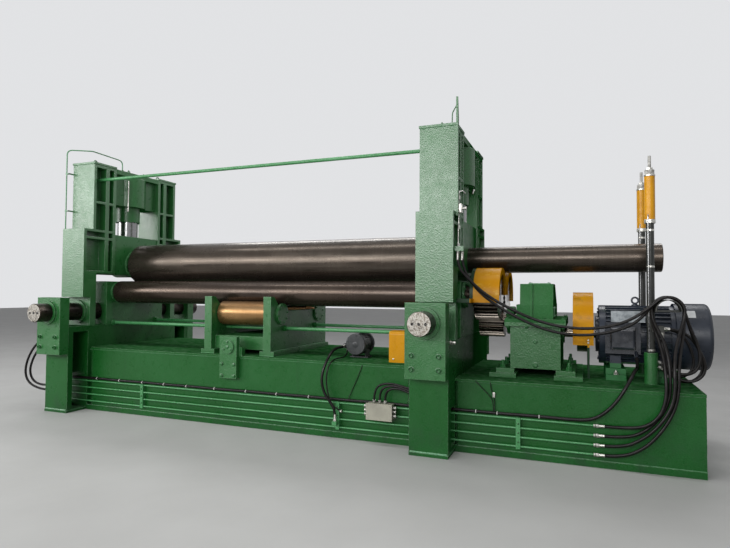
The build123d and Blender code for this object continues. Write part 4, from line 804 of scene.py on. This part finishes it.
MOTOR_FEET = (4.075, 4.510)
MOTOR_FOOT_Y = 0.295
MOTOR_LID_ROWS = (1.025, 1.205)
MOTOR_SHIELD_CIRCLE = 0.262
FAN_COVER_CIRCLE = 0.315
MOTOR_PAD_TOP = 0.760
FAN_R = 0.320
PEDESTAL_R = 0.060
TAIL_PIPE_LOW = 1.000
TAIL_BANDS = (2.144, 1.801, 1.020)
PUMP_FACE = Vector((1.418, -0.500, 0.956))
GLAND_ROWS = (0.300, 0.340, 0.380)


# Bolts and screws
KEEPER_BOLT_X = 0.130
KEEPER_BOLT_ROWS = (0.830, 0.958)
KEEPER_BOLT = 0.029
ROD_HOLES = (-0.062, 0.0, 0.062)
ADJUSTER_BOLT_X = 0.083
ADJUSTER_BOLT_ROWS = (0.575, 0.708)
ADJUSTER_DISC_Z = 0.905
ADJUSTER_DISC_CIRCLE = 0.055
COVER_BOLT = 0.014
UPPER_BEARING_CIRCLE = 0.184
HOUSING_CIRCLE = 0.120
SUPPORT_CIRCLE = 0.103
GLAND_CIRCLE = 0.150
CROSSHEAD_CIRCLE = 0.205
EYE_Y = 0.590


def bolt_circle(kit, count, radius, centre, out, size, start=0.0, washer=True):
    """Bolts on a circle, all facing one way."""
    axis = [abs(part) for part in out]
    for place in circle_of(count, radius, centre, axis, start):
        hex_bolt(kit, place, out, size, washer)


def keeper_screws():
    """Four socket screws in the face of each keeper block."""
    kit = Kit("keeper_screws")
    face = corners("left_keeper_blocks")[1].y - KEEPER_RING
    for side, depth in FOUR:
        for x in (-KEEPER_BOLT_X, KEEPER_BOLT_X):
            for z in KEEPER_BOLT_ROWS:
                place, out = (side * STAND_X + x, depth * face, z), (0, depth, 0)
                kit.lathe(place, out, [(-0.001, 0.029), (0.0015, 0.029), (0.003, 0.026)], 28)
                socket_screw(kit, place, out, KEEPER_BOLT)
    kit.done()


def rod_end_rings():
    """Dark oily rims of the three holes in the end of each shift rod."""
    kit = Kit("rod_end_rings", dark_steel, "dark_steel")
    for name in ("left_shift_rods", "right_shift_rods"):
        centre = middle(name)
        for end in corners(name):
            for x in ROD_HOLES:
                kit.ring((centre.x + x, end.y, centre.z), DEEP, 0.0105, 0.0035)
    kit.done()


def foot_welds():
    """The bright weld along the front and rear foot of each stand."""
    kit = Kit("foot_welds", green_fresh)
    half, z = STAND_HALF - 0.01, FOOT_PLATE + 0.006
    for side, depth in FOUR:
        x, y = side * STAND_X, depth * (FRAME_HIGH.y - FOOT_LIP)
        kit.bead((x - half, y, z), (x + half, y, z), 0.010, 0.016)
    kit.done()


def adjuster_screws():
    """The bolts of both adjuster plates and of the discs on them."""
    kit = Kit("adjuster_screws")
    disc = corners("rear_adjuster")[1].y
    for depth in BOTH:
        out, centre = (0, depth, 0), Vector((0, depth * disc, ADJUSTER_DISC_Z))
        for x in (-ADJUSTER_BOLT_X, ADJUSTER_BOLT_X):
            for z in ADJUSTER_BOLT_ROWS:
                hex_bolt(kit, (x, depth * (disc - ADJUSTER_DISC), z), out, 0.022)
        for angle in (90, 210, 330):
            turn = math.radians(angle)
            spoke = Vector((math.cos(turn), 0, math.sin(turn)))
            hex_bolt(kit, centre + ADJUSTER_DISC_CIRCLE * spoke, out, 0.014)
        kit.lathe(centre, out, [(0, 0.020), (0.006, 0.020), (0.009, 0.014)], 20)
    kit.done()


def cover_bolts():
    """Bolts round the covers of the bearings, housings and support rollers."""
    fixed = Kit("cover_bolts")
    lifting = Kit("upper_bearing_bolts", body=LIFT_BODY)
    roll, upper, pin = middle("rear_lower_roll"), middle("upper_roll"), middle("rear_support_roller")
    for side in BOTH:
        name = "left" if side < 0 else "right"
        inner = corners(name + "_upper_bearing")[0 if side > 0 else 1].x
        bolt_circle(lifting, 10, UPPER_BEARING_CIRCLE, (inner, 0, upper.z), (-side, 0, 0), COVER_BOLT)
        for depth in BOTH:
            for end, out in zip(corners(name + "_lower_housing"), BOTH):
                centre = (end.x, depth * roll.y, roll.z)
                bolt_circle(fixed, 8, HOUSING_CIRCLE, centre, (out, 0, 0), COVER_BOLT, 0.2)
    for side, depth in FOUR:
        centre = (side * SUPPORT_COVER_X, depth * pin.y, pin.z)
        bolt_circle(fixed, 8, SUPPORT_CIRCLE, centre, (side, 0, 0), 0.012, 0.2)
    fixed.done()
    lifting.done()


def stay_nuts():
    """Nuts on the stay rods, at their ends and on both sides of the support bracket."""
    kit = Kit("stay_nuts")
    high, z = corners("stay_rods")[1], middle("stay_rods").z
    for side, depth in FOUR:
        end, inner = Vector((side * high.x, depth * (high.y - STAY_R), z)), (-side, 0, 0)
        kit.lathe(end, inner, [(0, 0.046), (0.005, 0.046), (0.008, 0.043)], 20)
        kit.lathe(end, inner, [(0.004, 0.033, HEX), (0.036, 0.033, HEX), (0.039, 0.030)])
        plate = (side * (SUPPORT_COVER_X - 0.025), end.y, z)
        kit.lathe(plate, (side, 0, 0), [(0, 0.033, HEX), (0.030, 0.033, HEX), (0.033, 0.030)])
    kit.done()


def cylinder_bolts():
    """The studs round each main cylinder's gland and the studs and plug on its crosshead."""
    kit = Kit("cylinder_studs")
    gland_z = corners("right_main_cylinder")[0].z
    for side in BOTH:
        top = Vector((side * STAND_X, 0, STAND_TOP))
        bolt_circle(kit, 12, GLAND_CIRCLE, (top.x, 0, gland_z), (0, 0, -1), 0.014, washer=False)
        for place in circle_of(16, CROSSHEAD_CIRCLE, top, UP):
            if abs(place.x - top.x) < STAND_HALF - 0.03:
                stud_nut(kit, place, UP, 0.024, 0.018)
        kit.lathe(top, UP, [(0, 0.060), (0.012, 0.060), (0.014, 0.057), (0.014, 0.030),
                            (0.024, 0.028, HEX), (0.036, 0.026, HEX)])
    kit.done()


def lifting_eyes():
    """A lifting eye on each post's cap."""
    kit = Kit("lifting_eyes", green)
    for side, depth in FOUR:
        place = Vector((side * STAND_X, depth * EYE_Y, corners("left_rear_post")[1].z))
        kit.lathe(place, UP, [(0, 0.026), (0.010, 0.026), (0.016, 0.016), (0.022, 0.013)], 20)
        kit.ring(place + Vector((0, 0, 0.044)), ALONG, 0.024, 0.0075)
    kit.done()


# Weld beads
def base_beads():
    """Weld beads along the base's webs, flange and sole."""
    kit = Kit("base_weld_beads", green_welds)
    seam = corners("base_roll_section")[1].z - FLANGE
    drive = corners("base_drive_section")[1]
    inner, outer = STAND_X - STAND_HALF, STAND_X + STAND_HALF
    for depth in BOTH:
        y = depth * (BASE_WEB + 0.001)
        for x0, x1, z in ((-inner, inner, SOLE_HEIGHT), (outer, drive.x, SOLE_HEIGHT),
                          (outer + 0.03, drive.x, drive.z - FLANGE)):
            kit.bead((x0, y, z), (x1, y, z), 0.005)
        y = depth * (BASE_WEB + APRON + 0.001)
        for x0, x1 in ((0.12, inner - 0.05), (0.05 - inner, -0.12)):
            kit.bead((x0, y, seam), (x1, y, seam), 0.005)
    kit.bead((drive.x, -BASE_WEB, SOLE_HEIGHT), (drive.x, BASE_WEB, SOLE_HEIGHT), 0.005)
    kit.done()


def stand_beads():
    """Weld beads round the foot of each stand, at the step of its posts and under its cap."""
    kit = Kit("stand_weld_beads", green_welds)
    for side, depth in FOUR:
        x0, x1 = side * STAND_X - STAND_HALF, side * STAND_X + STAND_HALF
        y = depth * (FRAME_HIGH.y - FOOT_LIP)
        kit.bead((x0, y, FOOT_PLATE), (x1, y, FOOT_PLATE))
        for x in (x0, x1):
            kit.bead((x, y, FOOT_PLATE), (x, depth * FOOT_WELD_END, FOOT_PLATE), 0.005)
        y = depth * POST_UPPER_FRONT
        kit.bead((x0, y, POST_STEP_Z), (x1, y, POST_STEP_Z), 0.007)
        kit.bead((x0, y, STAND_TOP), (x1, y, STAND_TOP), 0.005)
        for x in (x0, x1):
            kit.bead((x, depth * CAP_WELD_END, STAND_TOP), (x, y, STAND_TOP), 0.004)
        y = depth * NECK_FRONT
        kit.bead((x0, y, FRAME_HIGH.z), (x1, y, FRAME_HIGH.z))
    kit.done()


def bracket_beads():
    """Weld beads where the support bracket stands on the base."""
    kit = Kit("bracket_weld_beads", green_welds)
    low, high = corners("support_bracket")
    foot = low.z + SUPPORT_FOOT
    for side in BOTH:
        for x in (SUPPORT_PLATE_X - 0.05, SUPPORT_PLATE_X + 0.05):
            kit.bead((side * x, low.y, foot), (side * x, high.y, foot))
        x0, x1 = side * (SUPPORT_PLATE_X - 0.095), side * (SUPPORT_PLATE_X + 0.095)
        for y in (low.y, high.y):
            kit.bead((x0, y, low.z), (x1, y, low.z))
    kit.done()


# Pipe ends, hose ends and ties
CRIMP_RIBS = 5


def crimped_end(kit, place, axis, length):
    """A hexagon nut and the ribbed sleeve that is crimped on a hose."""
    kit.lathe(place, axis, [(0, 0.0160, HEX), (0.022, 0.0160, HEX), (0.0255, 0.0150)])
    sleeve = [(0.024, 0.0125), (0.026, 0.0152)]
    pitch = (length - 0.032) / CRIMP_RIBS
    for i in range(CRIMP_RIBS):
        start = 0.028 + pitch * i
        sleeve += [(start + pitch * share, radius)
                   for share, radius in ((0.2, 0.0152), (0.6, 0.0152), (0.7, 0.0145), (0.95, 0.0145))]
    kit.lathe(place, axis, sleeve + [(length - 0.002, 0.0150), (length, 0.0138)], 20)


def hose_fittings():
    """Bright nuts and crimped sleeves where the hoses leave the pipes and ports."""
    kit = Kit("hose_fittings", zinc, "machined_steel")
    for z in PIPE_ROWS:
        crimped_end(kit, (DRIVE_PIPE_END, PIPE_Y, z), ALONG, 0.072)
        kit.lathe((DRIVE_PIPE_END - 0.020, PIPE_Y, z), ALONG,
                  [(0, 0.0100), (0.002, 0.0135, HEX), (0.015, 0.0135, HEX), (0.019, 0.0105)])
    for z in PIPE_ROWS[1:3]:
        crimped_end(kit, (LEFT_PIPE_END, PIPE_Y, z), (-1, 0, 0), 0.072)
    left_block = corners("left_lower_frame")[0].x + 0.035
    for y, z in LEFT_PORTS:
        crimped_end(kit, (left_block, y, z), (-1, 0, 0), 0.080)
    for x, y in POST_PORTS:
        crimped_end(kit, (x, y, POST_PORT_Z), (0, 0, -1), 0.088)
    for y in TAIL_PORT_ROWS:
        crimped_end(kit, (TAIL_PORT_X, y, TAIL_PORT_Z), (0, 0, -1), 0.075)
    crimped_end(kit, PUMP_PORT, (0, -1, 0), 0.080)
    crimped_end(kit, PUMP_MANIFOLD, UP, 0.075)
    kit.done()


def further_fittings():
    """Fittings where the further hoses and wires end."""
    kit = Kit("further_fittings", zinc, "machined_steel")
    loop_start = [(0, 0.015), (0.010, 0.015), (0.012, 0.018, HEX), (0.026, 0.018, HEX),
                  (0.030, 0.014), (0.050, 0.014), (0.052, 0.012)]
    loop_end = [(0, 0.016), (0.012, 0.018, HEX), (0.026, 0.018, HEX), (0.030, 0.0135), (0.046, 0.0130)]
    return_low = [(-0.004, 0.013), (0.008, 0.014, HEX), (0.018, 0.014, HEX), (0.022, 0.009),
                  (0.036, 0.0085)]
    return_high = [(0, 0.013), (0.006, 0.014, HEX), (0.016, 0.014, HEX), (0.020, 0.009), (0.030, 0.0085)]
    conduit_end = [(0, 0.014), (0.006, 0.014), (0.008, 0.012, HEX), (0.018, 0.012, HEX), (0.022, 0.0095)]
    for place in TAIL_LOOP_STARTS:
        kit.lathe(place, ALONG, loop_start)
    for place, slope in TAIL_LOOP_ENDS:
        kit.lathe(place, (1, 0, slope), loop_end)
    kit.lathe(RETURN_LOW_PORT, (-0.5, -0.7, 0.3), return_low)
    kit.lathe(RETURN_HIGH_PORT, (0, 0, -1), return_high)
    for number in range(len(CONDUITS)):
        y, z = CONDUIT_Y - CONDUIT_STEP * number, CONDUIT_LOW + CONDUIT_RISE * (2 - number)
        kit.lathe((FRAME_LOW.x + 0.001, y, z), (-1, 0, 0), conduit_end)
    kit.slab(*WIRE_CLIP, 0.001)
    kit.done()


def cable_ties():
    """Pale ties round the cable on the base."""
    kit = Kit("cable_ties", tie_plastic, "grey_plastic")
    for x in TIE_PLACES:
        kit.lathe((x, TIE_Y, TIE_Z), ALONG,
                  [(-0.004, 0.0158), (-0.0035, 0.0172), (0.0035, 0.0172), (0.004, 0.0158)], 20)
        kit.slab((x - 0.004, -0.861, 0.400), (x + 0.004, -0.853, 0.412), 0.001)
    kit.done()


def pipe_clamp_bolts():
    """Bolts between the rows of pipe on each clamp."""
    kit = Kit("pipe_clamp_bolts")
    for x in PIPE_CLAMPS:
        for a, b in zip(PIPE_ROWS, PIPE_ROWS[1:]):
            hex_bolt(kit, (x, PIPE_CLAMP_FACE, (a + b) / 2), (0, -1, 0), 0.010)
    kit.done()


# Gearbox and motor
def gearbox_bolts():
    """Flange bolts, foot studs and plugs of the gearbox."""
    kit = Kit("gearbox_bolts")
    split = corners("gearbox_case")[1].z
    row_y = GEARBOX_HALF + 0.024
    left_x, right_x = GEARBOX_LEFT - 0.024, GEARBOX_RIGHT + 0.024
    row_x = (left_x, GEARBOX_LEFT + 0.16, GEARBOX_LEFT + 0.32, right_x)
    places = [(x, y) for y in (-row_y, row_y) for x in row_x]
    places += [(x, y) for x in (left_x, right_x) for y in (-0.30, 0.30)]
    for x, y in places:
        for up in BOTH:
            hex_bolt(kit, (x, y, split + up * GEARBOX_FLANGE), (0, 0, up), 0.020)
    for x in GEARBOX_OUTER_STUDS:
        for y in GEARBOX_STUD_ROWS:
            stud_nut(kit, (x, y, GEARBOX_FOOT_TOP), UP, 0.034, 0.045)
    for z, r in GEARBOX_PLUGS:
        for depth in BOTH:
            kit.lathe((GEARBOX_PLUG_X, depth * GEARBOX_HALF, z), (0, depth, 0),
                      [(0, r * 1.5), (0.004, r * 1.5), (0.006, r), (0.020, r, HEX), (0.023, r * 0.9)])
    seal = (GEARBOX_LEFT - GEARBOX_SEAL, 0, split)
    bolt_circle(kit, 6, GEARBOX_SEAL_CIRCLE, seal, (-1, 0, 0), 0.016, math.pi / 6)
    kit.done()


def gearbox_plates():
    """The inspection plates on the gearbox's cover, with their screws."""
    kit = Kit("gearbox_plates", green_fresh)
    face = GEARBOX_RIGHT - 0.057
    low_z = corners("gearbox_case")[1].z + GEARBOX_FLANGE
    kit.slab((face - 0.012, -0.36, low_z + 0.02), (face, -0.16, low_z + 0.125), 0.003)
    for y in (-0.345, -0.175):
        for z in (low_z + 0.035, low_z + 0.110):
            socket_screw(kit, (face, y, z), ALONG, 0.008)
    top = corners("gearbox_cover")[1].z + 0.010
    kit.slab((3.26, -0.30, top - 0.012), (3.47, -0.06, top), 0.003)
    for x in (3.275, 3.455):
        for y in (-0.285, -0.075):
            hex_bolt(kit, (x, y, top), UP, 0.010)
    kit.done()


def motor_trim():
    """The lid screws, the eye, the cover and foot bolts, and the bare plate of the motor."""
    kit = Kit("motor_screws", dark_steel, "dark_steel")
    lid = corners("motor_terminal_box")[0]
    for x in (lid.x + 0.060, lid.x + 0.250):
        for z in MOTOR_LID_ROWS:
            socket_screw(kit, (x, lid.y, z), (0, -1, 0), 0.009)
    kit.done()
    kit = Kit("motor_eye", blue, "blue_paint")
    left, right = corners("motor_frame")[0].x + MOTOR_SHIELD, corners("motor_fan_cover")[0].x
    eye = Vector((left + 0.34, 0, corners("motor_frame")[1].z))
    kit.lathe(eye, UP, [(-0.020, 0.034), (0.008, 0.034), (0.014, 0.022), (0.024, 0.016)], 20)
    kit.ring(eye + Vector((0, 0, 0.052)), DEEP, 0.030, 0.0095, 28)
    bolt_circle(kit, 8, MOTOR_SHIELD_CIRCLE, (left, 0, MOTOR_AXIS_Z), (-1, 0, 0), 0.016, 0.2)
    rim = Vector((right + 0.030, 0, MOTOR_AXIS_Z))
    for place in circle_of(6, FAN_COVER_CIRCLE, rim, ALONG, 0.5):
        hex_bolt(kit, place, place - rim, 0.010)
    kit.done()
    kit = Kit("motor_foot_bolts", zinc, "machined_steel")
    for x in MOTOR_FEET:
        for depth in BOTH:
            stud_nut(kit, (x, depth * MOTOR_FOOT_Y, MOTOR_PAD_TOP), UP, 0.024, 0.018)
    kit.done()
    kit = Kit("motor_blank_plate", pale_plate, "machined_steel")
    x0, x1 = right + 0.082, right + 0.163
    rows = []
    for i in range(9):
        rise = 0.193 + 0.063 * i / 8
        near, far = (math.sqrt(radius ** 2 - rise ** 2) for radius in (FAN_R, FAN_R + 0.003))
        outline = ((x0, near), (x1, near), (x1, far), (x0, far))
        rows.append([(x, -y, MOTOR_AXIS_Z + rise) for x, y in outline])
    kit.rings(rows)
    kit.done()


def guard_trim():
    """Bolts at the feet of the coupling guard and of the pump's guard."""
    kit = Kit("guard_bolts", zinc, "machined_steel")
    x, y = middle("coupling_guard").x + 0.048, corners("coupling_guard")[1].y
    for depth in BOTH:
        for z in (1.055, 1.080):
            hex_bolt(kit, (x, depth * y, z), (0, depth, 0), 0.010)
    low, high = corners("pump_guard")
    for x in (low.x + 0.05, high.x - 0.05):
        hex_bolt(kit, (x, low.y, low.z + 0.035), (0, -1, 0), 0.010)
    kit.done()


# Tail cylinders
def tail_trim():
    """The bright pipe beside each tail cylinder, the bands round both and the bright caps."""
    pipes = Kit("tail_pipes", chrome, "chrome_rod")
    bands = Kit("tail_bands", zinc, "machined_steel")
    barrel_band = [(-0.009, 0.0352), (-0.009, 0.0368), (0.009, 0.0368), (0.009, 0.0352)]
    pipe_band = [(-0.009, 0.0062), (-0.009, 0.0085), (0.009, 0.0085), (0.009, 0.0062)]
    caps = ((BARREL_LOW - 0.022, 0.038), (BARREL_HIGH - 0.016, 0.020))
    x = middle("tail_pedestals").x
    reach = corners("tail_pedestals")[1].y - PEDESTAL_R
    for depth in BOTH:
        y = depth * reach
        pipe_x, pipe_y = x - 0.020, y - 0.043
        pipes.sweep([(pipe_x, pipe_y, TAIL_PIPE_LOW), (pipe_x, pipe_y, BARREL_LOW + 0.045),
                     (x - 0.010, y - 0.030, BARREL_LOW + 0.080)], 0.006, 0.03)
        for z in TAIL_BANDS:
            bands.lathe((x, y, z), UP, barrel_band, 28)
            bands.lathe((pipe_x, pipe_y, z), UP, pipe_band, 16)
            bands.slab((x - 0.026, y - 0.040, z - 0.009), (x - 0.014, y - 0.030, z + 0.009), 0.001)
        for z, height in caps:
            cap = [(0, 0.046), (0.003, 0.049), (height - 0.003, 0.049), (height, 0.046)]
            bands.lathe((x, y, z), UP, cap, 32)
        top_nut = [(0, 0.026, HEX), (0.022, 0.026, HEX), (0.026, 0.022)]
        bands.lathe((x, y, BARREL_HIGH + 0.045), UP, top_nut)
    pipes.done()
    bands.done()


# Pump and junction box
def pump_trim():
    """The rim, hub, grille and screws of the pump motor's fan cover."""
    kit = Kit("pump_trim", fan_grey, "dark_steel")
    face = PUMP_FACE
    kit.ring(face + Vector((0, 0.004, 0)), DEEP, 0.108, 0.005, 48)
    hub = [(-0.002, 0.032), (0.004, 0.032), (0.006, 0.028), (0.006, 0.014), (0.012, 0.012)]
    kit.lathe(face, (0, -1, 0), hub, 28)
    for radius in (0.050, 0.068, 0.086):
        kit.ring(face + Vector((0, 0.0005, 0)), DEEP, radius, 0.0022, 40, 6)
    for _, out in spokes((Vector(ALONG), Vector(UP)), 12):
        kit.sweep([face + out * 0.032, face + out * 0.106], 0.0018, sides=6)
    bolt_circle(kit, 5, 0.098, face, (0, -1, 0), 0.008, 0.4)
    kit.done()


def gland(kit, place, axis):
    """A cable gland: two hexagons with a neck between them."""
    kit.lathe(place, axis, [(-0.002, 0.0150), (0.004, 0.0150, HEX), (0.012, 0.0150, HEX), (0.013, 0.0115),
                            (0.018, 0.0115), (0.019, 0.0155, HEX), (0.029, 0.0155, HEX), (0.034, 0.0118)])


def junction_glands():
    """The glands and lid screws of the junction box."""
    kit = Kit("junction_glands", zinc, "machined_steel")
    low, high = corners("junction_box")
    y = (low.y + high.y) / 2
    for x, _ in CONDUITS:
        gland(kit, (x, y, high.z), UP)
    for z in GLAND_ROWS:
        gland(kit, (high.x, y, z), ALONG)
        gland(kit, (low.x, y, z), (-1, 0, 0))
    for x in (low.x + 0.016, high.x - 0.016):
        for z in (low.z + 0.016, high.z - 0.016):
            socket_screw(kit, (x, low.y, z), (0, -1, 0), 0.006)
    kit.done()


# Pipes and valves on the stands
def stand_pipes():
    """Bright pipes, valves and fittings, and painted pipes on the left stand and on the blade."""
    kit = Kit("stand_pipes", zinc, "machined_steel")
    outer = STAND_X + STAND_HALF
    x = outer + 0.012
    kit.sweep([(x, -0.739, 1.965), (x, -0.739, 2.180), (x, -0.718, 2.230), (x, -0.718, 2.560),
               (x, -0.540, 2.600), (x, -0.400, 2.600)], 0.007, 0.05)
    union = [(-0.020, 0.0095), (-0.018, 0.0150, HEX), (0.018, 0.0150, HEX), (0.020, 0.0095)]
    for y, z in ((-0.739, 2.02), (-0.720, 2.20), (-0.720, 2.50)):
        kit.lathe((x, y, z), UP, union)
    kit.slab((outer, -0.752, 2.345), (outer + 0.045, -0.680, 2.435), 0.004)
    knob = [(0, 0.020), (0.006, 0.020), (0.008, 0.010), (0.030, 0.010), (0.031, 0.018), (0.042, 0.018),
            (0.045, 0.015)]
    kit.lathe((outer + 0.045, -0.718, 2.39), ALONG, knob)
    kit.sweep([(x, 0.02, 2.66), (x, 0.06, 2.71), (x, 0.12, 2.72)], 0.012, 0.03)
    valve = [(0, 0.022), (0.006, 0.022), (0.007, 0.017, HEX), (0.022, 0.017, HEX), (0.024, 0.010),
             (0.036, 0.010), (0.037, 0.016), (0.050, 0.015), (0.052, 0.010)]
    kit.lathe((outer, -1.030, 1.070), ALONG, valve)
    kit.lathe((-STAND_X, -0.120, STAND_TOP), UP,
              [(0, 0.024), (0.006, 0.024), (0.007, 0.017, HEX), (0.030, 0.017, HEX), (0.034, 0.010)])
    inner = STAND_HALF - STAND_X + 0.014
    kit.sweep([(inner, -0.20, 3.10), (inner, -0.20, 2.66)], 0.009)
    kit.done()
    kit = Kit("left_stand_pipe", green_fresh)
    left, y, top = -outer, -0.840, STAND_TOP + 0.200
    x = left - 0.048
    kit.sweep([(left + 0.002, y, 1.860), (x, y, 1.860), (x, y, top), (-STAND_X, -0.640, top + 0.010),
               (-STAND_X, -0.120, top - 0.010), (-STAND_X, -0.120, STAND_TOP + 0.020)], 0.008, 0.07)
    for z in (2.02, 2.12):
        kit.slab((x - 0.012, y - 0.012, z - 0.012), (left + 0.002, y + 0.012, z + 0.012), 0.003)
    for z in (2.60, 3.10):
        kit.slab((x - 0.010, y - 0.010, z - 0.008), (left + 0.010, y + 0.010, z + 0.008))
        kit.slab((left - 0.008, y - 0.010, z - 0.008), (left + 0.010, -0.765, z + 0.008))
    kit.done()
    kit = Kit("blade_pipe", green)
    cap = STAND_TOP + 0.012
    kit.sweep([(outer - 0.052, -0.740, cap), (outer - 0.046, -0.750, cap + 0.120),
               (outer + 0.008, -0.765, 3.44)], 0.006, 0.05)
    kit.done()


for make in (
    keeper_screws, rod_end_rings, foot_welds, adjuster_screws, cover_bolts, stay_nuts, cylinder_bolts,
    lifting_eyes, base_beads, stand_beads, bracket_beads, hose_fittings, further_fittings, cable_ties,
    pipe_clamp_bolts, gearbox_bolts, gearbox_plates, motor_trim, guard_trim, tail_trim, pump_trim,
    junction_glands, stand_pipes,
):
    make()


# Floor, backdrop and light
FLOOR_REACH = 40.0
WORLD_LIGHT = 0.15
WORLD_SEEN = 0.78


def make_floor():
    mesh = bpy.data.meshes.new("floor")
    outline = ((-1, -1), (1, -1), (1, 1), (-1, 1))
    mesh.from_pydata([(x * FLOOR_REACH, y * FLOOR_REACH, 0) for x, y in outline], [], [(0, 1, 2, 3)])
    floor = bpy.data.objects.new("floor", mesh)
    bpy.context.scene.collection.objects.link(floor)
    f = Finish("floor_finish")
    f.paint((0.42, 0.42, 0.41), (f.patches(0.8, 5, 0.3, 0.7), (0.47, 0.47, 0.46)))
    f.rough(0.55, 0.7, 3, 4, 0.3, 0.7)
    mesh.materials.append(f.material)


def lamp(name, place, target, size, power):
    data = bpy.data.lights.new(name, "AREA")
    data.shape = "RECTANGLE"
    data.size, data.size_y = size
    data.energy = power
    light = bpy.data.objects.new(name, data)
    light.location = place
    light.rotation_euler = (Vector(target) - Vector(place)).to_track_quat("-Z", "Y").to_euler()
    bpy.context.scene.collection.objects.link(light)


def make_light():
    """Four soft lamps, and a world that is bright only where it is seen or mirrored."""
    world = bpy.data.worlds.new("world")
    world.use_nodes = True
    bpy.context.scene.world = world
    tree = world.node_tree
    back = tree.nodes["Background"]
    back.inputs["Color"].default_value = (0.97, 0.98, 1.0, 1.0)
    path = tree.nodes.new("ShaderNodeLightPath")
    seen = path.outputs["Is Camera Ray"]
    for other in ("Is Glossy Ray", "Is Transmission Ray"):
        either = tree.nodes.new("ShaderNodeMath")
        either.operation = "MAXIMUM"
        tree.links.new(seen, either.inputs[0])
        tree.links.new(path.outputs[other], either.inputs[1])
        seen = either.outputs[0]
    strength = tree.nodes.new("ShaderNodeMapRange")
    strength.inputs["To Min"].default_value = WORLD_LIGHT
    strength.inputs["To Max"].default_value = WORLD_SEEN
    tree.links.new(seen, strength.inputs["Value"])
    tree.links.new(strength.outputs["Result"], back.inputs["Strength"])
    lamp("windows_front", (-4.5, -9.5, 4.4), (-1.5, 0.0, 2.2), (24.0, 4.8), 1350)
    lamp("window_strip", (-4.5, -9.4, 4.3), (-1.5, 0.0, 2.0), (24.0, 0.6), 460)
    lamp("roof_rear", (0.5, 4.5, 7.0), (0.5, 0.0, 1.5), (11.0, 1.4), 320)
    lamp("roof_middle", (0.5, -1.5, 8.0), (0.5, -0.3, 1.0), (10.0, 1.0), 200)


make_floor()
make_light()
bpy.context.scene.view_settings.view_transform = "Standard"
